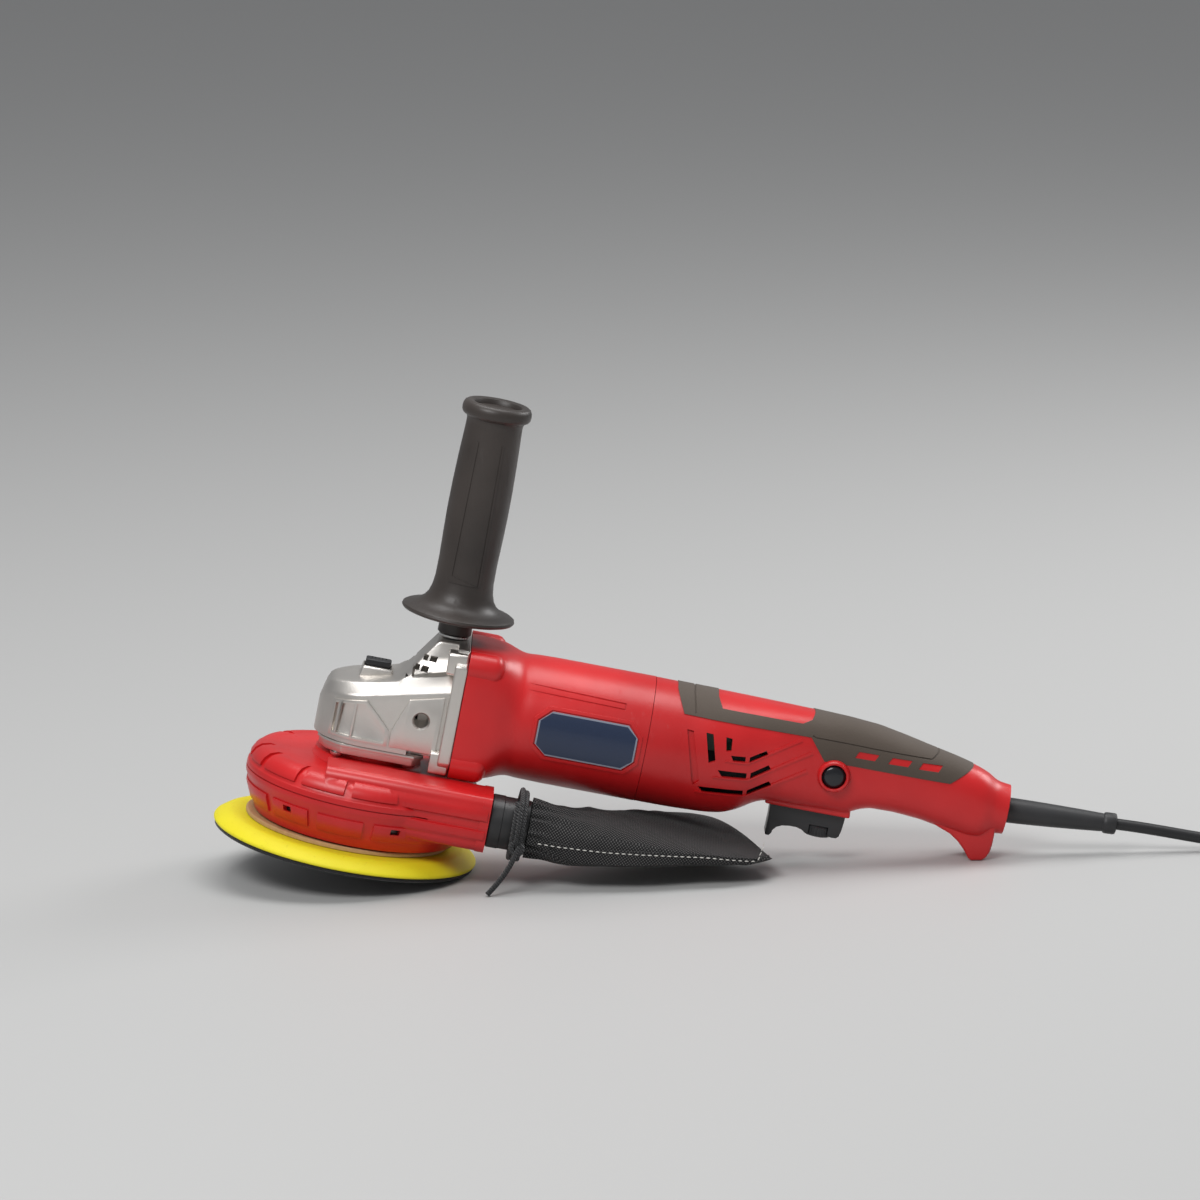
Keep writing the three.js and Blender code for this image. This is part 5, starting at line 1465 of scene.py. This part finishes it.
# Air slots in three nested chevrons on both sides, with a blind step in front and ridges behind them.
SLOTS = [
    [(31.5, 16.5), (35.6, 16.2), (39.4, 1.8), (35.8, 0.2)],
    [(43, 15.8), (46.6, 15.4), (47.2, 8.6), (44.4, 8.2)],
    [(32.4, -14.4), (58.2, -13.2), (58.4, -16.2), (35.6, -17.4)],
    [(41.6, -3), (58.2, -2.6), (58.4, -6), (44.6, -6.6)],
    [(47.4, 6.2), (55.8, 6.6), (56.2, 3.6), (49.4, 3.2)],
    [(60.4, -12.8), (71.6, -5.8), (73.4, -8), (60.6, -15.8)],
    [(60.4, -2.2), (69.6, 3.6), (71.4, 1.2), (60.6, -5.6)],
    [(58.2, 6.6), (66.8, 11.6), (68.2, 9.4), (58.4, 3.6)],
]
BLIND_STEP = [(20.6, 16.4), (24.4, 16.2), (32.6, -11.2), (29.8, -14), (28.4, -11.8)]
RIDGES = [
    [(31, -18.4), (60.4, -17), (92, 2.6), (91, 4.2), (60.2, -15.9), (58.4, -16.6), (31.8, -17.6)],
    [(39.6, -7.9), (60, -6.9), (93, 13.2), (92, 14.7), (59.6, -5.8), (58, -6.3), (40.6, -7.1)],
    [(44.6, 2.2), (57.8, 2.6), (86, 19.6), (85, 21), (57.6, 3.7), (56, 3.4), (45.6, 3.1)],
]
ridge_skin = handle_loft("ridge_skin", inset=-0.55, start=2, end=200, stations=90)
for outline in RIDGES:
    combined(handle, "UNION", combined(zone("ridge", outline), "INTERSECT", ridge_skin, keep=True))
bpy.data.objects.remove(ridge_skin)
step = combined(
    zone("blind_step", BLIND_STEP), "DIFFERENCE",
    handle_loft("step_floor", inset=1.4, start=0, end=100, stations=60),
)
combined(handle, "DIFFERENCE", step)

hollow = handle_loft("handle_hollow", inset=2.8, start=-4, end=HANDLE_LENGTH - 12)
combined(handle, "DIFFERENCE", hollow)
for outline in SLOTS:
    combined(handle, "DIFFERENCE", zone("air_slot", outline))
combined(handle, "DIFFERENCE", pushed("trigger_slot", on_handle(TRIGGER_SLOT), -7.6, 7.6))
sleeve_hole = turned(
    "sleeve_hole", [(0, -18), (7.8, -18), (7.8, 6), (0, 6)], "X", (FRONT + HANDLE_LENGTH, 0, AXIS_Z - 2),
    steps=48,
)
combined(handle, "DIFFERENCE", sleeve_hole)

LOCK_SPOT = (FRONT + 107, AXIS_Z + 3)
halves = {}
for name, side in (("left", -1), ("right", 1)):
    room = pushed(
        "half_room", [(100, -10), (400, -10), (400, 150), (100, 150)], *sorted((side * 0.12, side * 60)),
    )
    halves[name] = combined(copied(handle, f"handle_half_{name}"), "INTERSECT", room)
bpy.data.objects.remove(handle)
raised_ring = [
    (6.9, -23.2), (7.3, -23.6), (8.2, -23.4), (8.9, -22.4), (9.4, -20), (9.4, -17.2), (6.9, -17.2),
]
lock_ring = turned(
    "lock_ring", [(r, h) for r, h in raised_ring], "Y", (LOCK_SPOT[0], 0, LOCK_SPOT[1]), steps=64,
)
combined(
    halves["left"], "DIFFERENCE",
    turned(
        "lock_hole", [(0, -40), (6.95, -40), (6.95, -12), (0, -12)], "Y", (LOCK_SPOT[0], 0, LOCK_SPOT[1]),
        steps=64,
    ),
)
combined(halves["left"], "UNION", lock_ring)
SHELL_SCREWS = [(16, -20), (62, 14), (128, -4), (176, -6)]
for x, z in SHELL_SCREWS:
    well = turned(
        "screw_well", [(0, 12), (4.3, 12), (4.3, 40), (0, 40)], "Y", (FRONT + x, 0, AXIS_Z + z), steps=40,
    )
    tower = turned(
        "screw_tower", [(0, 8), (5.6, 8), (5.6, 15), (0, 15)], "Y", (FRONT + x, 0, AXIS_Z + z), steps=40,
    )
    combined(halves["right"], "UNION", tower)
    combined(halves["right"], "DIFFERENCE", well)
for name, half in halves.items():
    placed(half, red_plastic, smooth=30)
    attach(half, "machine")
    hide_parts(f"handle_shell_{name}")

# Six-pointed recess screws sit deep in the far half.
for number, (x, z) in enumerate(SHELL_SCREWS, 1):
    shell_screw = turned(
        "screw_head", [(0, 12.4), (3.4, 12.4), (3.4, 13.4), (3, 14.2), (2, 14.7), (0, 14.8)], "Y", steps=32,
    )
    for turn in range(3):
        notch = pushed("star_slot", rounded_box(1.5, 0.45, 0.4, steps=2), 13.6, 16, "Z")
        notch.data.transform(
            Matrix.Rotation(-math.pi / 2, 4, "X") @ Matrix.Rotation(turn * math.pi / 3, 4, "Z")
        )
        combined(shell_screw, "DIFFERENCE", notch)
    shell_screw.name = f"shell_screw_{number}"
    shell_screw.data.transform(Matrix.Translation((FRONT + x, 0, AXIS_Z + z)))
    placed(shell_screw, gear_steel)
    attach(shell_screw, "machine")

# Soft grip: grey-brown rubber moulded over the top of both halves, finely grained.
rubber = Look("grip_rubber", Specular_IOR_Level=0.25, Sheen_Weight=0.08)
grain = rubber.noise(1100, detail=3, roughness=0.6)
patches = rubber.noise(24, detail=3, roughness=0.5)
dusty = rubber.finish(
    rubber.blend(patches, (0.062, 0.047, 0.036), (0.098, 0.077, 0.062)), 0.62 + grain * 0.16, grain, 0.00014
)
placed(soft, dusty, smooth=30)
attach(soft, "machine")
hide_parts("grip_overmould")

# A dark plate stands between the two shells behind the vents, so no light shows through them; its black is
# painted shade for the inside of the handle.
shade_plate = pushed(
    "vent_baffle", on_handle([(24, -28), (56, -28), (64, -23.5), (76, -18.5), (76, 3), (24, 3)]), -0.8, 0.8,
)
placed(shade_plate, black_plastic)
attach(shade_plate, "machine")

# ---------------------------------------------------------------------------------------------------
# Trigger and its controls: a black paddle with a hook in front and scallops for two fingers, a knurled
# speed wheel in it, and a round lock-on button on the near side of the handle.
PADDLE = [
    (0, -14.5), (0, -21), (0.4, -29), (0.3, -36), (0.2, -39.6), (1, -40.3), (2.6, -40.2), (3.6, -39),
    (4.4, -36.6), (6, -34.8), (9, -33.4), (13, -32.8), (17, -32.8), (20, -33.6), (22.6, -35.2),
    (25.4, -35.8), (28.6, -35.4), (31.6, -34), (34.4, -34.2), (37.4, -35.2), (40.2, -35), (41.6, -33.6),
    (42.4, -30), (43, -24), (43, -14.5),
]
PADDLE_START = 76.1
paddle = pushed("trigger_paddle", on_handle([(PADDLE_START + x, z) for x, z in PADDLE]), -7, 7)
rounded(paddle, width=0.8, steps=3, angle=40)
shelf = pushed(
    "trigger_shelf", on_handle([(74.7, -16.5), (118.1, -16.5), (118.1, -14.5), (74.7, -14.5)]), -9, 9,
)
combined(paddle, "UNION", shelf)
DIAL_SPOT = (FRONT + 105.5, 0, AXIS_Z)
combined(
    paddle, "DIFFERENCE",
    turned("dial_well", [(0, -50), (8.9, -50), (8.9, -29.7), (0, -29.7)], "Z", DIAL_SPOT, steps=64),
)
combined(
    paddle, "UNION",
    turned("dial_post", [(0, -33), (2.2, -33), (2.2, -29), (0, -29)], "Z", DIAL_SPOT, steps=32),
)
placed(paddle, black_plastic)
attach(paddle, "trigger")
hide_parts("trigger")

WHEEL = [(0, -36), (7.4, -36), (8.2, -35.3), (8.2, -30.7), (7.5, -30), (2.5, -30), (2.5, -33.4), (0, -33.4)]
wheel = turned("speed_wheel", WHEEL, "Z", DIAL_SPOT, steps=120)
NOTCHES = 30
for notch in range(NOTCHES):
    x, y = polar(8.5, 360 * notch / NOTCHES)
    tool = turned(
        "wheel_notch", [(0, -37), (0.55, -37), (0.55, -29), (0, -29)], "Z", (DIAL_SPOT[0] + x, y, AXIS_Z),
        steps=10,
    )
    combined(wheel, "DIFFERENCE", tool)
placed(wheel, black_plastic)
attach(wheel, "dial")
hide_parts("speed_dial")

BUTTON = [
    (0, -23.4), (2.5, -23.3), (4.6, -22.9), (5.9, -22.2), (6.5, -21.2), (6.5, -16.3), (8.5, -16.3),
    (8.5, -14.5), (0, -14.5),
]
button = turned("lock_on_knob", BUTTON, "Y", (LOCK_SPOT[0], 0, LOCK_SPOT[1]), steps=72)
knob_plastic = wear(
    Look("knob_plastic", Specular_IOR_Level=0.5), (0.008, 0.009, 0.012), dark=0.8, light=1.5, grain=1800,
    rough=0.22, depth=0.00002, scuffs=0.05
)
placed(button, knob_plastic)
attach(button, "lock_on")
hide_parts("lock_on_button")
